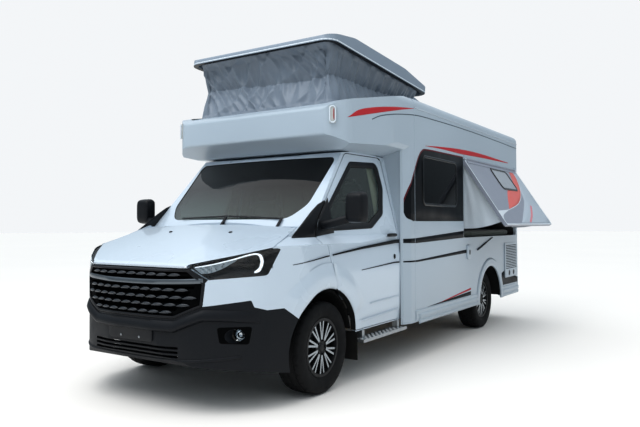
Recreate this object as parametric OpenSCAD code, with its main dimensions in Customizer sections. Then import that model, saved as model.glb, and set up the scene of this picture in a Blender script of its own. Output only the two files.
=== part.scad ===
// Coach-built recreational vehicle on a van chassis: cab, over-cab alcove with a
// raised pop-top, living box with a side hatch that opens into a canvas bay.
// Millimetres. X to the vehicle's left, Y to the rear, Z up; the ground is Z = 0.
// Stations (s) are measured rearward from the front axle.

/* [Overall] */
// Length over the bumpers
overall_length = 6040; // [5900:10:6300]
// Front axle to rear axle
wheelbase = 3750; // [3600:10:3850]
// Front bumper face to front axle
front_overhang = 1050; // [1010:10:1090]
// Width of the living box
body_width = 2160; // [2120:10:2240]
// Height of the box roof
roof_z = 2540; // [2480:10:2640]
// Width over the cab doors
cab_width = 2050; // [2000:10:2060]
// Height of the cab roof
cab_roof_z = 1950; // [1930:5:1960]

/* [Panels] */
// Thickness of a living-box wall
wall_t = 36; // [28:1:45]
// Thickness of the roof and alcove mouldings
roof_t = 40; // [30:1:50]
// Thickness of a cab panel or cab door
cab_wall = 60; // [45:1:65]
// Depth of the bumper moulding's walls
bumper_t = 60; // [50:1:65]
// Thickness of the living-box floor
floor_t = 50; // [40:1:60]
// Depth of the cowl below the bonnet line
cowl_sink = 42; // [35:1:50]
// Gap round a door, lid or hatch
shut_gap = 7; // [6:0.5:9]
// Clearance where fixed pieces meet
seam = 0.3; // [0.2:0.05:0.5]

/* [Wheels and axles] */
// Tyre outer diameter
tyre_d = 712; // [690:2:730]
// Tyre section width
tyre_w = 235; // [215:1:245]
// Distance between the tread centres of one axle
track = 1750; // [1720:5:1770]
// Radius of a wheel arch
arch_r = 440; // [435:1:455]
// Radius of a wheel hub spigot
spigot_r = 32; // [28:1:36]
// Running clearance of a hub in its wheel
run_clear = 0.3; // [0.2:0.05:0.5]
// Number of twin spokes in a wheel
spoke_n = 10; // [8:1:12]

/* [Chassis] */
// Top of the chassis rails above the axle line
rail_rise = 264; // [250:2:280]
// Depth of a chassis rail
rail_h = 130; // [110:5:140]
// Width of a chassis rail
rail_w = 70; // [60:1:80]
// Inner face of a chassis rail from the centreline
rail_x = 420; // [400:5:430]

/* [Pop-top] */
// Angle the lid is raised by
lid_open = 10.5; // [8:0.5:12]
// Half width of the lid
lid_half = 830; // [800:5:832]
// Station of the lid's front edge
lid_front = 380; // [375:5:420]
// Station of the lid's rear edge
lid_back = 2420; // [2300:10:2425]
// Half width of the roof aperture under the lid
well_half = 850; // [845:5:880]

/* [Side hatch] */
// Angle the hatch is swung out by
hatch_open = 33; // [25:1:40]
// Length of the hatch opening
hatch_len = 2070; // [1900:10:2100]
// Height of the hatch opening's sill
hatch_z0 = 1156; // [1100:5:1200]
// Height of the hatch opening's top
hatch_z1 = 2050; // [2000:5:2100]

/* [Windows and doors] */
// Length of the fixed side windows
pane_len = 910; // [800:10:930]
// Height of the side windows' lower edge
pane_z0 = 1500; // [1450:10:1550]
// Height of the side windows' upper edge
pane_z1 = 1975; // [1900:10:2000]
// Width of the entry door
entry_w = 640; // [580:10:680]
// Thickness of window panes
pane_t = 26; // [20:1:28]

/* [Number plate] */
// Distance between the plate's holes across the vehicle
plate_dx = 210; // [180:5:240]
// Distance between the plate's holes up the vehicle
plate_dz = 120; // [90:5:130]
// Radius of a plate screw hole
plate_hole_r = 3.2; // [2.5:0.1:4]

/* [Hidden] */
$fn = 48;
front_y = front_overhang - overall_length / 2;
tail_s = overall_length - front_overhang;
wall_back = tail_s - 20;
axle_z = tyre_d / 2;
wheel_x = track / 2;
box_half = body_width / 2;
cab_half = cab_width / 2;
cab_back = 1330;
box_front = 1490;
wall_z0 = 480;
wall_z1 = roof_z - 110;
rail_top = axle_z + rail_rise;
rail_z0 = rail_top - rail_h;
cab_floor = rail_top + 70;
floor_top = rail_top + floor_t;
rail_end = wall_back - 200;
// a station well ahead of the nose
ahead = -front_overhang - 100;
plate_z = 546;
liner_t = 15;
liner_in = 540;
liner_r = arch_r + liner_t;
kingpin_x = wheel_x - 95;
sill_z = 415;
// closed lid: its rim lies on a plane that rises from front to rear
lid_z_front = roof_z - 220;
lid_z_back = roof_z + 20;
lid_slope = (lid_z_back - lid_z_front) / (lid_back - lid_front);
lid_hinge_s = 3400;
lid_hinge_z = roof_z + 60;
hatch_s1 = tail_s - 90;
hatch_s0 = hatch_s1 - hatch_len;
hatch_axis_x = box_half + 10.5;
entry_axis_x = -box_half - 10.5;
pane_s0 = 1680;
entry_s0 = 1600;
entry_z0 = rail_top - 20;
entry_z1 = 2380;

// Y of a station
function st(s) = front_y + s;
function unit(v) = v / norm(v);
function turn(a, b) = a.x * b.y - a.y * b.x;
function flat(p) = [p.x, p.y];
// one corner of an outline turned into an arc of radius r
function corner(p, q, r, rad, n) =
    rad <= 0 || abs(turn(unit(q - p), unit(r - q))) < 0.01 ? [q] :
    let (a = unit(p - q), b = unit(r - q), h = acos(a * b) / 2, c = q + unit(a + b) * rad / sin(h),
         p0 = q + a * rad / tan(h), p1 = q + b * rad / tan(h),
         a0 = atan2(p0.y - c.y, p0.x - c.x), a1 = atan2(p1.y - c.y, p1.x - c.x),
         da = ((a1 - a0 + 540) % 360) - 180)
    [for (i = [0:n]) c + rad * [cos(a0 + da * i / n), sin(a0 + da * i / n)]];
// outline with rounded corners from points [u, v, radius]
function rounded(pts, n = 5) = let (m = len(pts))
    [for (i = [0:m - 1]) each corner(flat(pts[(i + m - 1) % m]), flat(pts[i]),
                                     flat(pts[(i + 1) % m]), pts[i][2], n)];
// the same outline moved inward by d; points run anticlockwise
function inset(pts, d) = let (m = len(pts))
    [for (i = [0:m - 1])
        let (p = flat(pts[(i + m - 1) % m]), q = flat(pts[i]), r = flat(pts[(i + 1) % m]),
             a = unit(q - p), b = unit(r - q), na = [-a.y, a.x], nb = [-b.y, b.x],
             o = q + d * (na + nb) / (1 + na * nb), k = turn(a, b))
        [o.x, o.y, max(0, pts[i][2] - (k > 0 ? d : -d))]];
// half an outline (right side, bottom to top) completed by its mirror image
function whole(half) = concat(half, [for (i = [len(half) - 1:-1:0]) [-half[i].x, half[i].y, half[i][2]]]);
function box_pts(u0, u1, v0, v1, r) = [[u0, v0, r], [u1, v0, r], [u1, v1, r], [u0, v1, r]];

module outline(pts, n = 5) polygon(rounded(pts, n));
// drawn in side view (station, height), pushed across the vehicle
module along_x(x0, x1) translate([x0, front_y, 0]) rotate([90, 0, 90]) linear_extrude(x1 - x0) children();
// drawn in front view (x, height), pushed along the vehicle
module along_y(s0, s1) translate([0, st(s1), 0]) rotate([90, 0, 0]) linear_extrude(s1 - s0) children();
// drawn in plan (x, station), pushed upward
module along_z(z0, z1) translate([0, front_y, z0]) linear_extrude(z1 - z0) children();
module block(x0, x1, s0, s1, z0, z1) translate([x0, st(s0), z0]) cube([x1 - x0, s1 - s0, z1 - z0]);
module rod_x(x0, x1, s, z, r) translate([x0, st(s), z]) rotate([0, 90, 0]) cylinder(h = x1 - x0, r = r);
module rod_y(s0, s1, x, z, r) translate([x, st(s1), z]) rotate([90, 0, 0]) cylinder(h = s1 - s0, r = r);
module rod_z(z0, z1, x, s, r) translate([x, st(s), z0]) cylinder(h = z1 - z0, r = r);
module both_sides() { children(); mirror([1, 0, 0]) children(); }

// Outlines of the cab

hood_back = [-70, 1335];
hood_front = [95 - front_overhang, 1050];
// how far the bonnet falls away at 900 mm from the centreline
hood_crown = 30;
hood_slope = (hood_back.y - hood_front.y) / (hood_back.x - hood_front.x);
// height of the bonnet line at a station, d below the surface
function hood_z(s, d) = hood_back.y + (s - hood_back.x) * hood_slope - d * sqrt(1 + hood_slope * hood_slope);
function cab_side_pts(back, drop = 0) = [
    [75 - front_overhang, 330 - drop, 50], [-380, 240 - drop, 0], [-380, sill_z - drop, 0], [back, sill_z - drop, 0],
    [back, cab_roof_z, 0],
    [760, cab_roof_z, 60], [500, cab_roof_z - 25, 160], [hood_back.x, hood_back.y, 40],
    [hood_front.x, hood_front.y, 110],
    [22 - front_overhang, 985, 50], [4 - front_overhang, 880, 100], [-front_overhang, 560, 200],
    [18 - front_overhang, 400, 60]];
function cab_plan_pts(back) = [
    [cab_half, back, 0], [-cab_half, back, 0], [-cab_half, -330, 700], [145 - cab_half, -690, 500],
    [-580, 75 - front_overhang, 450], [-220, -front_overhang, 900], [220, -front_overhang, 900],
    [580, 75 - front_overhang, 450], [cab_half - 145, -690, 500], [cab_half, -330, 700]];
function cab_front_pts(drop = 0) = whole([
    [cab_half - 40, 230 - drop, 40], [cab_half - 5, 560, 300], [cab_half, 900, 400],
    [cab_half - 20, 1210, 250], [cab_half - 175, cab_roof_z - 15, 40], [cab_half - 200, cab_roof_z, 0]]);
// side of the cab above the belt line: it leans in, and draws in toward the windscreen
belt_z = 1215;
flank_s = 1300;
flank_taper = 4.6;
flank_pts = [[-2600, 0, 0], [200, 0, 0], [200, belt_z - 65, 0], [45, belt_z - 65, 0], [-20, belt_z, 0],
             [-20 - (2100 - belt_z) * 155 / (cab_roof_z - 15 - belt_z), 2100, 0], [-2600, 2100, 0]];
door_back = 1262;
// room that the inner edge of the door needs at its rear as it swings out
door_swing = 18;
function door_pts(w) = [[250, 430, 0], [door_back, 430, 40], [door_back, 1100, 0], [1205 + w, cab_roof_z - 25, 50],
            [640, cab_roof_z - 25, 90], [80, 1345, 60], [4, 1205, 20], [140, 760, 0]];
door_glass_pts = [[125, 1258, 15], [840, 1278, 90], [1062, 1400, 60], [1150, 1640, 90],
                  [1130, 1868, 60], [690, 1850, 60], [170, 1385, 40]];
bonnet_back = -160;
bonnet_half = 835;
bonnet_pts = whole([[540, ahead, 0], [765, -900, 40], [925, -610, 20], [bonnet_half, bonnet_back, 20]]);
grille_top = 1000;
screen_pts = whole([[640, 1348, 160], [752, 1470, 120], [775, cab_roof_z - 60, 50]]);
grille_pts = whole([[395, 655, 40], [600, 742, 25], [616, 905, 15], [508, grille_top, 15]]);
// the part of the grille that is open between its slats
slat_pts = whole([[380, 682, 30], [552, 882, 25], [486, grille_top - 16, 15]]);
lamp_pts = [[628, 926, 15], [909, 950, 20], [952, 1138, 10], [917, 1136, 0], [734, 1082, 60], [496, 1022, 5]];
bumper_pts = [[ahead, 200, 0], [-330, 200, 0], [-330, 715, 0], [-617, 708, 10], [-700, 733, 10], [-717, 782, 10],
              [-945, 745, 0], [ahead, 735, 0]];
// fog lamps: distance from the centreline, height, radius, station of the lens
fog_x = 765;
fog_z = 540;
fog_r = 52;
fog_s = -745;

// the side of the cab above the belt, moved inward by d
module flank(d) translate([cab_half, st(flank_s), 0]) rotate([0, 0, -flank_taper]) rotate([90, 0, 0])
    translate([0, 0, -400]) linear_extrude(3200) outline(inset(flank_pts, d));
// what lies above the crowned bonnet, moved down by d
module above_hood(d) translate([0, st(hood_back.x), hood_back.y]) rotate([atan(hood_slope), 0, 0]) rotate([90, 0, 0])
    translate([0, 0, 20]) linear_extrude(1400) polygon(concat(
        [for (x = [-1200:150:1200]) [x, -d - hood_crown * pow(x / 900, 2)]], [[1200, 400], [-1200, 400]]));
// windscreen: its slope, how far it falls back at 800 mm from the centreline
screen_angle = atan2(cab_roof_z - 25 - hood_back.y, 500 - hood_back.x);
screen_bow = 60;
function bow(x) = screen_bow * pow(x / 800, 2);
// what lies ahead of the bowed windscreen, moved back by d
module before_screen(d) translate([0, st(hood_back.x), hood_back.y]) rotate([screen_angle, 0, 0]) rotate([-90, 0, 0])
    translate([0, 0, -40]) linear_extrude(1045) polygon(concat(
        [for (x = [-1200:120:1200]) [x, d + bow(x)]], [[1200, -400], [-1200, -400]]));
// the cab's outer form moved inward by d, open below where drop is given
module cab_form(d, back = cab_back, drop = 0) difference() {
    intersection() {
        along_x(-1100, 1100) outline(inset(cab_side_pts(back, drop), d));
        along_z(-300, 2200) outline(inset(cab_plan_pts(back), d));
        along_y(ahead, back + 100) outline(inset(cab_front_pts(drop), d));
        flank(d);
        mirror([1, 0, 0]) flank(d);
    }
    above_hood(d);
    before_screen(d);
}
module arch_cut(s, r, x0, x1) both_sides() rod_x(x0, x1, s, axle_z, r);
module bonnet_zone(d) along_z(grille_top, 1500) outline(inset(bonnet_pts, d));
module grille_zone(d) along_y(ahead, -800) outline(inset(grille_pts, d));
module lamp_zone(d) both_sides() along_y(ahead, -450) outline(inset(lamp_pts, d));
module bumper_zone(d) along_x(-1100, 1100) outline(inset(bumper_pts, d));
module door_zone(d, x0 = 700) along_x(x0, 1100) difference() {
    outline(inset(door_pts(d < 0 ? door_swing : 0), d));
    translate([0, axle_z]) circle(r = liner_r + shut_gap + d);
}
module screen_zone(d) along_y(-150, 560) outline(inset(screen_pts, d));

// bonnet hinges: inner face of a knuckle, axis and radius; the axis lies just under the bonnet's skin
hinge_x = 640;
hinge_s = bonnet_back + 10;
hinge_r = 9;
// height d below the crowned bonnet at a hinge
function hinge_low(s, d) = hood_z(s, d + hood_crown * pow((hinge_x + 50) / 900, 2));
hinge_z = hinge_low(hinge_s, hinge_r + 2);

module cab_shell() color("white") {
    difference() {
        cab_form(0);
        // cabin, footwell underside and engine bay
        intersection() {
            cab_form(cab_wall, cab_back + 200);
            union() {
                block(-1100, 1100, -60, cab_back + 300, cab_floor, 2200);
                block(-1100, 1100, ahead, -140, 0, 2200);
            }
        }
        block(-cab_half + cab_wall, cab_half - cab_wall, -900, cab_back + 10, 0, cab_floor - 60);
        arch_cut(0, liner_r + seam, liner_in - seam, 1200);
        both_sides() door_zone(-shut_gap);
        screen_zone(0);
        bonnet_zone(-shut_gap);
        // sunk cowl between the bonnet and the windscreen
        difference() {
            block(-bonnet_half - shut_gap, bonnet_half + shut_gap, bonnet_back - 1, -80, 1150, 1400);
            cab_form(cowl_sink);
        }
        // pockets of the bonnet hinges
        both_sides() block(hinge_x - 28, hinge_x + 78, bonnet_back - 5, -125, 1235, 1400);
        grille_zone(-seam);
        lamp_zone(-seam);
        bumper_zone(-seam);
    }
    // ears of the bonnet hinges
    both_sides() for (x = [hinge_x - 20, hinge_x + 50 + seam]) {
        rod_x(x, x + 20 - seam, hinge_s, hinge_z, hinge_r);
        block(x, x + 20 - seam, hinge_s, -100, hinge_z - 7, hinge_z + 4);
        block(x, x + 20 - seam, -122, -100, hinge_z - 45, hinge_z + 4);
    }
    // door strikers on the rear pillars
    both_sides() block(cab_half - 18, cab_half - 4, door_back + seam, door_back + 38, 990, 1040);
}

module bonnet() color("white") {
    difference() {
        intersection() { cab_form(0); bonnet_zone(0); }
        cab_form(22);
        lamp_zone(-shut_gap);
        grille_zone(-shut_gap);
    }
    both_sides() {
        rod_x(hinge_x, hinge_x + 50, hinge_s, hinge_z, hinge_r);
        along_x(hinge_x, hinge_x + 50) polygon([[-200, hinge_low(-200, 36)], [hinge_s, hinge_z - 7],
            [hinge_s, hinge_z + 5], [bonnet_back - 8, hinge_low(bonnet_back - 8, 6)], [-200, hinge_low(-200, 6)]]);
    }
}

module windscreen() color("lightblue", 0.5) {
    difference() {
        intersection() { cab_form(5); screen_zone(seam); }
        cab_form(14, cab_back + 200);
    }
}

module front_bumper() color("dimgray") {
    difference() {
        intersection() { cab_form(0); bumper_zone(0); }
        intersection() {
            cab_form(bumper_t, cab_back, 300);
            block(-1100, 1100, ahead, 0, -300, 2000);
        }
        grille_zone(-seam);
        arch_cut(0, liner_r + seam, liner_in - seam, 1200);
        // lower air intake
        for (z = [385:30:445]) along_y(ahead, -900) outline(box_pts(-430, 430, z, z + 18, 6));
        // pockets of the fog lamps
        both_sides() rod_y(ahead, fog_s + 65 + seam, fog_x, fog_z, fog_r + seam);
        for (x = [-1, 1], z = [-1, 1])
            rod_y(ahead, -930, x * plate_dx / 2, plate_z + z * plate_dz / 2, plate_hole_r);
    }
}

// the slats: height of each one's lower edge; the bar that carries the emblem's place is deeper
slat_h = 20;
function slat_z() = [for (z = [690:52:960]) z];
bar_z = 882;
bar_h = 44;
module slats() {
    for (z = slat_z()) block(-700, 700, ahead, -800, z, z + slat_h);
    block(-700, 700, ahead, -800, bar_z, bar_z + bar_h);
}
module grille() color("black") difference() {
    intersection() { cab_form(8); grille_zone(0); }
    cab_form(80);
    // open rows between the slats, backed by a recessed panel
    difference() {
        along_y(ahead, -800) outline(slat_pts);
        cab_form(48);
        slats();
    }
}

module front_lamps() color("gray") {
    difference() {
        intersection() { cab_form(3); lamp_zone(0); }
        cab_form(70);
    }
    both_sides() rod_y(fog_s, fog_s + 65, fog_x, fog_z, fog_r);
}

blade_len = 540;
// a point of the wiper's plane: t along the glass from its foot, n off the glass
function on_screen(t, n) = [hood_back.x + t * cos(screen_angle) - n * sin(screen_angle),
                            hood_back.y + t * sin(screen_angle) + n * cos(screen_angle)];
module wipers() color("black") for (x = [40, 600]) {
    sink = cowl_sink - 1 + hood_crown * pow(x / 900, 2);
    low = 10 - bow(x);
    // foot and arm in one outline, then the blade hung on the arm's end, along the bowed glass
    along_x(x - 10, x + 10) polygon([[-108, hood_z(-108, sink)], [-88, hood_z(-88, sink)],
        on_screen((-88 - hood_back.x + low * sin(screen_angle)) / cos(screen_angle), low), on_screen(40, low), on_screen(40, low + 10), on_screen(-62, low + 10)]);
    translate([x, st(hood_back.x), hood_back.y]) rotate([screen_angle, 0, 0]) translate([0, 0, low])
        rotate([0, atan((bow(x) - bow(x - blade_len)) / blade_len), 0])
        translate([-blade_len, 40 + seam, 0]) cube([blade_len + 10, 12, 8]);
}

dash_pts = [[-60 + seam, 930, 0], [150, 930, 40], [260, 1050, 60], [250, 1170, 60], [90, 1245, 60],
            [-60 + seam, 1190, 0]];
module dashboard() color("dimgray") along_x(-700, 700) outline(dash_pts);

module steering_wheel() color("black") {
    difference() {
        translate([400, st(430), 1170]) rotate([-62, 0, 0]) {
            rotate_extrude() translate([185, 0]) circle(r = 15);
            cylinder(h = 50, r = 55, center = true);
            for (a = [0, 90, 180]) rotate([0, 0, a + 180]) translate([0, -18, -10]) cube([186, 36, 18]);
            translate([0, 0, -20]) mirror([0, 0, 1]) cylinder(h = 260, r = 25);
        }
        along_x(300, 500) outline(inset(dash_pts, -seam));
    }
}

module cab_seats() color("gray") both_sides() {
    along_x(270, 750) outline([[650, cab_floor + seam, 0], [1090, cab_floor + seam, 0], [1110, 900, 0],
        [1285, 1540, 40], [1170, 1570, 50], [1050, 1010, 80], [620, 1000, 50], [620, 870, 30]]);
    along_x(390, 630) outline([[1185, 1470, 0], [1245, 1460, 0], [1308, 1705, 35], [1228, 1718, 35]]);
}

module wheel_liners() color("black") both_sides() {
    for (s = [0, wheelbase]) {
        x0 = s == 0 ? liner_in : 700;
        x1 = s == 0 ? cab_half - cab_wall - 5 : box_half - 5;
        difference() {
            rod_x(x0, x1, s, axle_z, liner_r);
            rod_x(x0 + liner_t, x1 + 10, s, axle_z, arch_r);
            block(0, 1300, s - 600, s + 600, -300, s == 0 ? 440 : axle_z + 20);
            // room for the axle, the suspension arm and the rail
            block(0, x0 + 50, s - 130, s + 130, 0, s == 0 ? 500 : 520);
        }
    }
}

// Doors of the cab, their glass and mirrors

module cab_door() {
    difference() {
        intersection() { cab_form(0); door_zone(0); }
        cab_form(cab_wall - 8, cab_back + 200, 200);
        along_x(600, 1200) outline(door_glass_pts);
    }
}
module door_glass() {
    difference() {
        intersection() { cab_form(14); along_x(600, 1200) outline(inset(door_glass_pts, seam)); }
        cab_form(20, cab_back + 200);
    }
}
module mirror_head() {
    along_y(95, 205) outline([[1090, 1322, 30], [1240, 1330, 40], [1246, 1550, 45], [1102, 1560, 40]]);
    along_y(92, 140) outline([[840, 1262, 0], [1125, 1290, 10], [1125, 1345, 10], [840, 1314, 0]]);
}
module cab_door_left() color("white") cab_door();
module cab_door_right() color("white") mirror([1, 0, 0]) cab_door();
module door_glass_left() color("lightblue", 0.5) door_glass();
module door_glass_right() color("lightblue", 0.5) mirror([1, 0, 0]) door_glass();
module mirror_left() color("black") difference() { mirror_head(); cab_form(-seam); }
module mirror_right() color("black") mirror([1, 0, 0]) difference() { mirror_head(); cab_form(-seam); }

// Living box

alcove_top = [[box_front, roof_z, 0], [1380, roof_z - 12, 500], [400, roof_z - 190, 400], [300, roof_z - 250, 50]];
function alcove_side_pts(back) = concat(
    [[520, cab_roof_z + seam, 30], [back, cab_roof_z + seam, 0], [back, roof_z, 0]],
    [for (i = [1:3]) alcove_top[i]], [[300, 2055, 30]]);
function alcove_plan_pts(back) = [
    [box_half, back, 0], [-box_half, back, 0], [-box_half, 1050, 900], [115 - box_half, 430, 200], [250 - box_half, 300, 120],
    [box_half - 250, 300, 120], [box_half - 115, 430, 200], [box_half, 1050, 900]];
function alcove_front_pts() = whole([
    [cab_half - 190, cab_roof_z + seam, 0], [box_half - 25, 2008, 20], [box_half, 2052, 40],
    [box_half, roof_z - 20, 90], [box_half - 120, roof_z, 200]]);
function roof_pts(d) = inset(whole([[box_half, wall_z1, 0], [box_half, roof_z - 15, 80], [box_half - 110, roof_z, 200]]), d);

module alcove_form(d, back) {
    intersection() {
        along_x(-1200, 1200) outline(inset(alcove_side_pts(back), d));
        along_z(1800, 2800) outline(inset(alcove_plan_pts(back), d));
        along_y(200, back) outline(inset(alcove_front_pts(), d));
    }
}
module well(d, z0, z1) along_z(z0, z1) outline(box_pts(d - well_half, well_half - d, lid_front - 30 + d, lid_back + 20 - d, 150 - d));

module alcove() color("white") {
    difference() {
        alcove_form(0, box_front);
        alcove_form(roof_t, box_front + 100);
        well(0, 2200, 2800);
    }
    // cheeks that join the cab pillars to the box sides
    both_sides() along_z(365, 2100) outline([
        [cab_half + 1, 1275, 0], [cab_half + 20, 1290, 0], [box_half, 1400, 60], [box_half, box_front, 0],
        [box_half - wall_t, box_front, 0], [box_half - wall_t, cab_back + 20, 0], [cab_half + 1, cab_back, 0]]);
    // closing panels between the leaning cab pillars and the cheeks
    both_sides() difference() {
        along_y(cab_back - 40, cab_back - 28) polygon([[cab_half - 205, belt_z - 85], [cab_half + 2, belt_z - 85],
            [cab_half + 2, cab_roof_z + 58], [cab_half - 185, cab_roof_z + 8]]);
        cab_form(-seam);
    }
}

module roof() color("white") difference() {
    along_y(box_front + seam, wall_back) outline(roof_pts(0));
    along_y(box_front - 10, wall_back - wall_t) outline(whole([[box_half - wall_t, wall_z1 - 50, 0],
        [box_half - wall_t, roof_z - 15 - roof_t, 45], [box_half - 130, roof_z - roof_t, 160]]));
    well(0, 2200, 2800);
}

module roof_coaming() color("white") {
    intersection() {
        difference() { well(seam, 2000, 2900); well(130, 1900, 3000); }
        along_x(-1200, 1200) polygon([for (e = [[0, -80], [4000, -80], [4000, -2], [0, -2]])
            [e[0], lid_z_front + (e[0] - lid_front) * lid_slope + e[1]]]);
    }
    intersection() {
        difference() { well(seam, 2000, 2900); well(15, 1900, 3000); }
        along_x(-1200, 1200) polygon(concat(
            [for (s = [300, 2600]) [s, lid_z_front + (s - lid_front) * lid_slope - 80]],
            [[2600, roof_z + 18], [2100, roof_z - 4], [1400, roof_z - 14], [1200, roof_z - 56], [400, roof_z - 205], [300, roof_z - 225]]));
    }
}

// the panes' places: side of the vehicle, first station, length, sill, top
pane_table = [[1, pane_s0, pane_len, pane_z0, pane_z1], [-1, 2700, 1400, pane_z0, pane_z1]];
module pane_outline(p, d) outline(box_pts(p[1] + d, p[1] + p[2] - d, p[3] + d, p[4] - d, 60));

module side_wall(side) {
    x0 = side > 0 ? box_half - wall_t : -box_half;
    along_x(x0, x0 + wall_t) difference() {
        polygon([[box_front + seam, wall_z0], [wall_back, wall_z0], [wall_back, wall_z1 - seam], [box_front + seam, wall_z1 - seam]]);
        translate([wheelbase, axle_z]) circle(r = liner_r + seam);
        for (p = pane_table) if (p[0] == side) pane_outline(p, 0);
        if (side > 0) outline(box_pts(hatch_s0 - shut_gap, hatch_s1 + shut_gap, hatch_z0 - shut_gap, hatch_z1 + shut_gap, 30));
        else outline(box_pts(entry_s0 - shut_gap, entry_s0 + entry_w + shut_gap, entry_z0 - shut_gap, entry_z1 + shut_gap, 50));
    }
}
// ears of the hatch's long hinge, one at each end
module hatch_ears() for (s = [hatch_s0 + 2, hatch_s1 - 62]) {
    rod_y(s, s + 60, hatch_axis_x, hatch_z1, 9);
    block(box_half - 5, box_half + 6, s, s + 60, hatch_z1 + shut_gap, hatch_z1 + 40);
    block(box_half + 1, box_half + 9, s, s + 60, hatch_z1, hatch_z1 + 40);
}
module wall_left() color("white") { side_wall(1); hatch_ears(); }
// ears of the entry door's hinges: height of each
entry_hinges = [entry_z0 + 300, entry_z0 + 1450];
module wall_right() color("white") {
    side_wall(-1);
    for (z = entry_hinges) {
        for (dz = [-60, 20 + seam]) {
            rod_z(z + dz, z + dz + 40 - seam, entry_axis_x, entry_s0 - 3.5, 9);
            block(-box_half - 8, -box_half + 4, entry_s0 - 60, entry_s0 - 3.5, z + dz, z + dz + 40 - seam);
        }
    }
}

module wall_rear() color("white") along_y(wall_back - wall_t, wall_back) difference() {
    polygon([[wall_t + seam - box_half, wall_z0], [box_half - wall_t - seam, wall_z0],
             [box_half - wall_t - seam, wall_z1 - seam], [wall_t + seam - box_half, wall_z1 - seam]]);
    outline(box_pts(-450, 450, pane_z0, pane_z1 - 60, 60));
    for (x = [-1, 1], z = [-1, 1]) translate([x * plate_dx / 2, 900 + z * plate_dz / 2]) circle(r = plate_hole_r);
}

module floor_panel() color("tan") difference() {
    block(wall_t + seam - box_half, box_half - wall_t - seam, cab_back + 25, wall_back - wall_t - seam, rail_top, floor_top);
    arch_cut(wheelbase, liner_r + seam, 700 - seam, 1300);
}

module windows() color("black") {
    for (p = pane_table) {
        x0 = p[0] > 0 ? box_half + 4 - pane_t : -box_half - 4;
        along_x(x0, x0 + pane_t) pane_outline(p, seam);
    }
    along_y(wall_back - pane_t, wall_back + 4) outline(box_pts(seam - 450, 450 - seam, pane_z0 + seam, pane_z1 - 60 - seam, 60));
}

module skirts() color("gainsboro") both_sides() {
    difference() {
        union() {
            along_y(box_front + seam, wall_back - 120 - seam) outline([[box_half - 45, 366, 10], [box_half - 4, 360, 12],
                [box_half + 8, 395, 10], [box_half + 8, 470, 4], [box_half - 2, wall_z0 - seam, 2],
                [box_half - 45, wall_z0 - seam, 2]]);
            difference() {
                rod_x(box_half + seam, box_half + 14, wheelbase, axle_z, arch_r + 62);
                block(0, 1300, 2000, 5000, -200, 370);
            }
        }
        rod_x(0, 1300, wheelbase, axle_z, liner_r + seam);
        along_y(0, 6000) outline(box_pts(box_half + 4, box_half + 20, 428, 436, 0));
    }
}

module rear_bumper() color("white") difference() {
    along_x(-box_half, box_half)
        outline([[wall_back - 120, 360, 20], [tail_s - 12, 350, 30], [tail_s, 420, 20], [tail_s, 560, 10],
                 [wall_back + seam, 570, 5], [wall_back + seam, wall_z0 - seam, 0], [wall_back - 120, wall_z0 - seam, 0]]);
    arch_cut(wheelbase, liner_r + seam, 700 - seam, 1300);
}

module tail_lamps() color("red") both_sides() along_y(wall_back + seam, tail_s)
    outline(box_pts(900, 1030, 700, 1100, 30));

module marker_lamps() color("orange") both_sides() difference() {
    intersection() {
        translate([848, st(352), 0]) rotate([0, 0, 38]) translate([-26, -40, 2150]) cube([52, 120, 140]);
        alcove_form(-14, box_front);
    }
    alcove_form(-seam, box_front);
}

module vent_grille() color("white") {
    s0 = tail_s - 640;
    s1 = tail_s - 60;
    x0 = box_half + seam;
    along_x(x0, x0 + 12) difference() {
        outline(box_pts(s0, s1, 586, 1049, 20));
        for (z = [700:22:1010]) translate([s0 + 40, z]) square([s1 - s0 - 80, 10]);
        for (s = [s0 + 190, s0 + 390]) translate([s, 642]) circle(r = 38);
    }
}

module bed() color("darkslategray") block(250, box_half - wall_t - seam, hatch_s0 + 20, hatch_s1 - 20, hatch_z0 - 20, hatch_z0 + 80);

module side_steps() color("silver") both_sides() {
    block(cab_half - 70, cab_half + 45, 480, 1310, 325, 350);
    for (s = [540, 1210]) block(cab_half - 55, cab_half - 5, s, s + 40, 345, sill_z - seam);
}

module mudflaps() color("black") both_sides() {
    block(cab_half - 180, cab_half - 10, 462, 470, 180, sill_z - seam);
}

// Chassis

module frame_rails() color("dimgray") both_sides() along_x(rail_x, rail_x + rail_w) polygon([
    [150 - front_overhang, rail_z0 + 20], [-720, rail_z0 + 20], [-640, rail_z0], [rail_end, rail_z0], [rail_end, rail_top],
    [-720, rail_top], [-720, rail_z0 + 90], [150 - front_overhang, rail_z0 + 90]]);

// cross members: share of the way from the cab's to the last one
cross_steps = [0, 0.176, 0.428, 0.63, 0.869, 0.984];
// outriggers: share of the living box's length
rigger_steps = [-0.02, 0.348, 0.836];
module cross_members() color("dimgray") {
    for (s = concat([-720], [for (f = cross_steps) 800 + f * (rail_end - 800)]))
        block(seam - rail_x, rail_x - seam, s, s + 60, rail_z0 + 20, rail_top - 20);
    both_sides() for (f = rigger_steps)
        let (s = box_front + f * (wall_back - box_front))
        block(rail_x + rail_w + seam, box_half - wall_t - 20, s, s + 50, rail_top - 60, rail_top - seam);
    // rubber mounts under the cab
    both_sides() for (s = [500, 1200]) block(rail_x, rail_x + 90, s, s + 80, rail_top + seam, cab_floor - 60 - seam);
}

module engine_block() color("dimgray") {
    block(-270, 270, -640, -160, 420, 960);
    block(-150, 150, -170, 700, rail_top - 230, rail_top - 20);
    for (x = [-1, 1]) block(x > 0 ? 260 : seam - rail_x, x > 0 ? rail_x - seam : -260, -420, -340, rail_top - 100, rail_top - 30);
}

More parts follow.
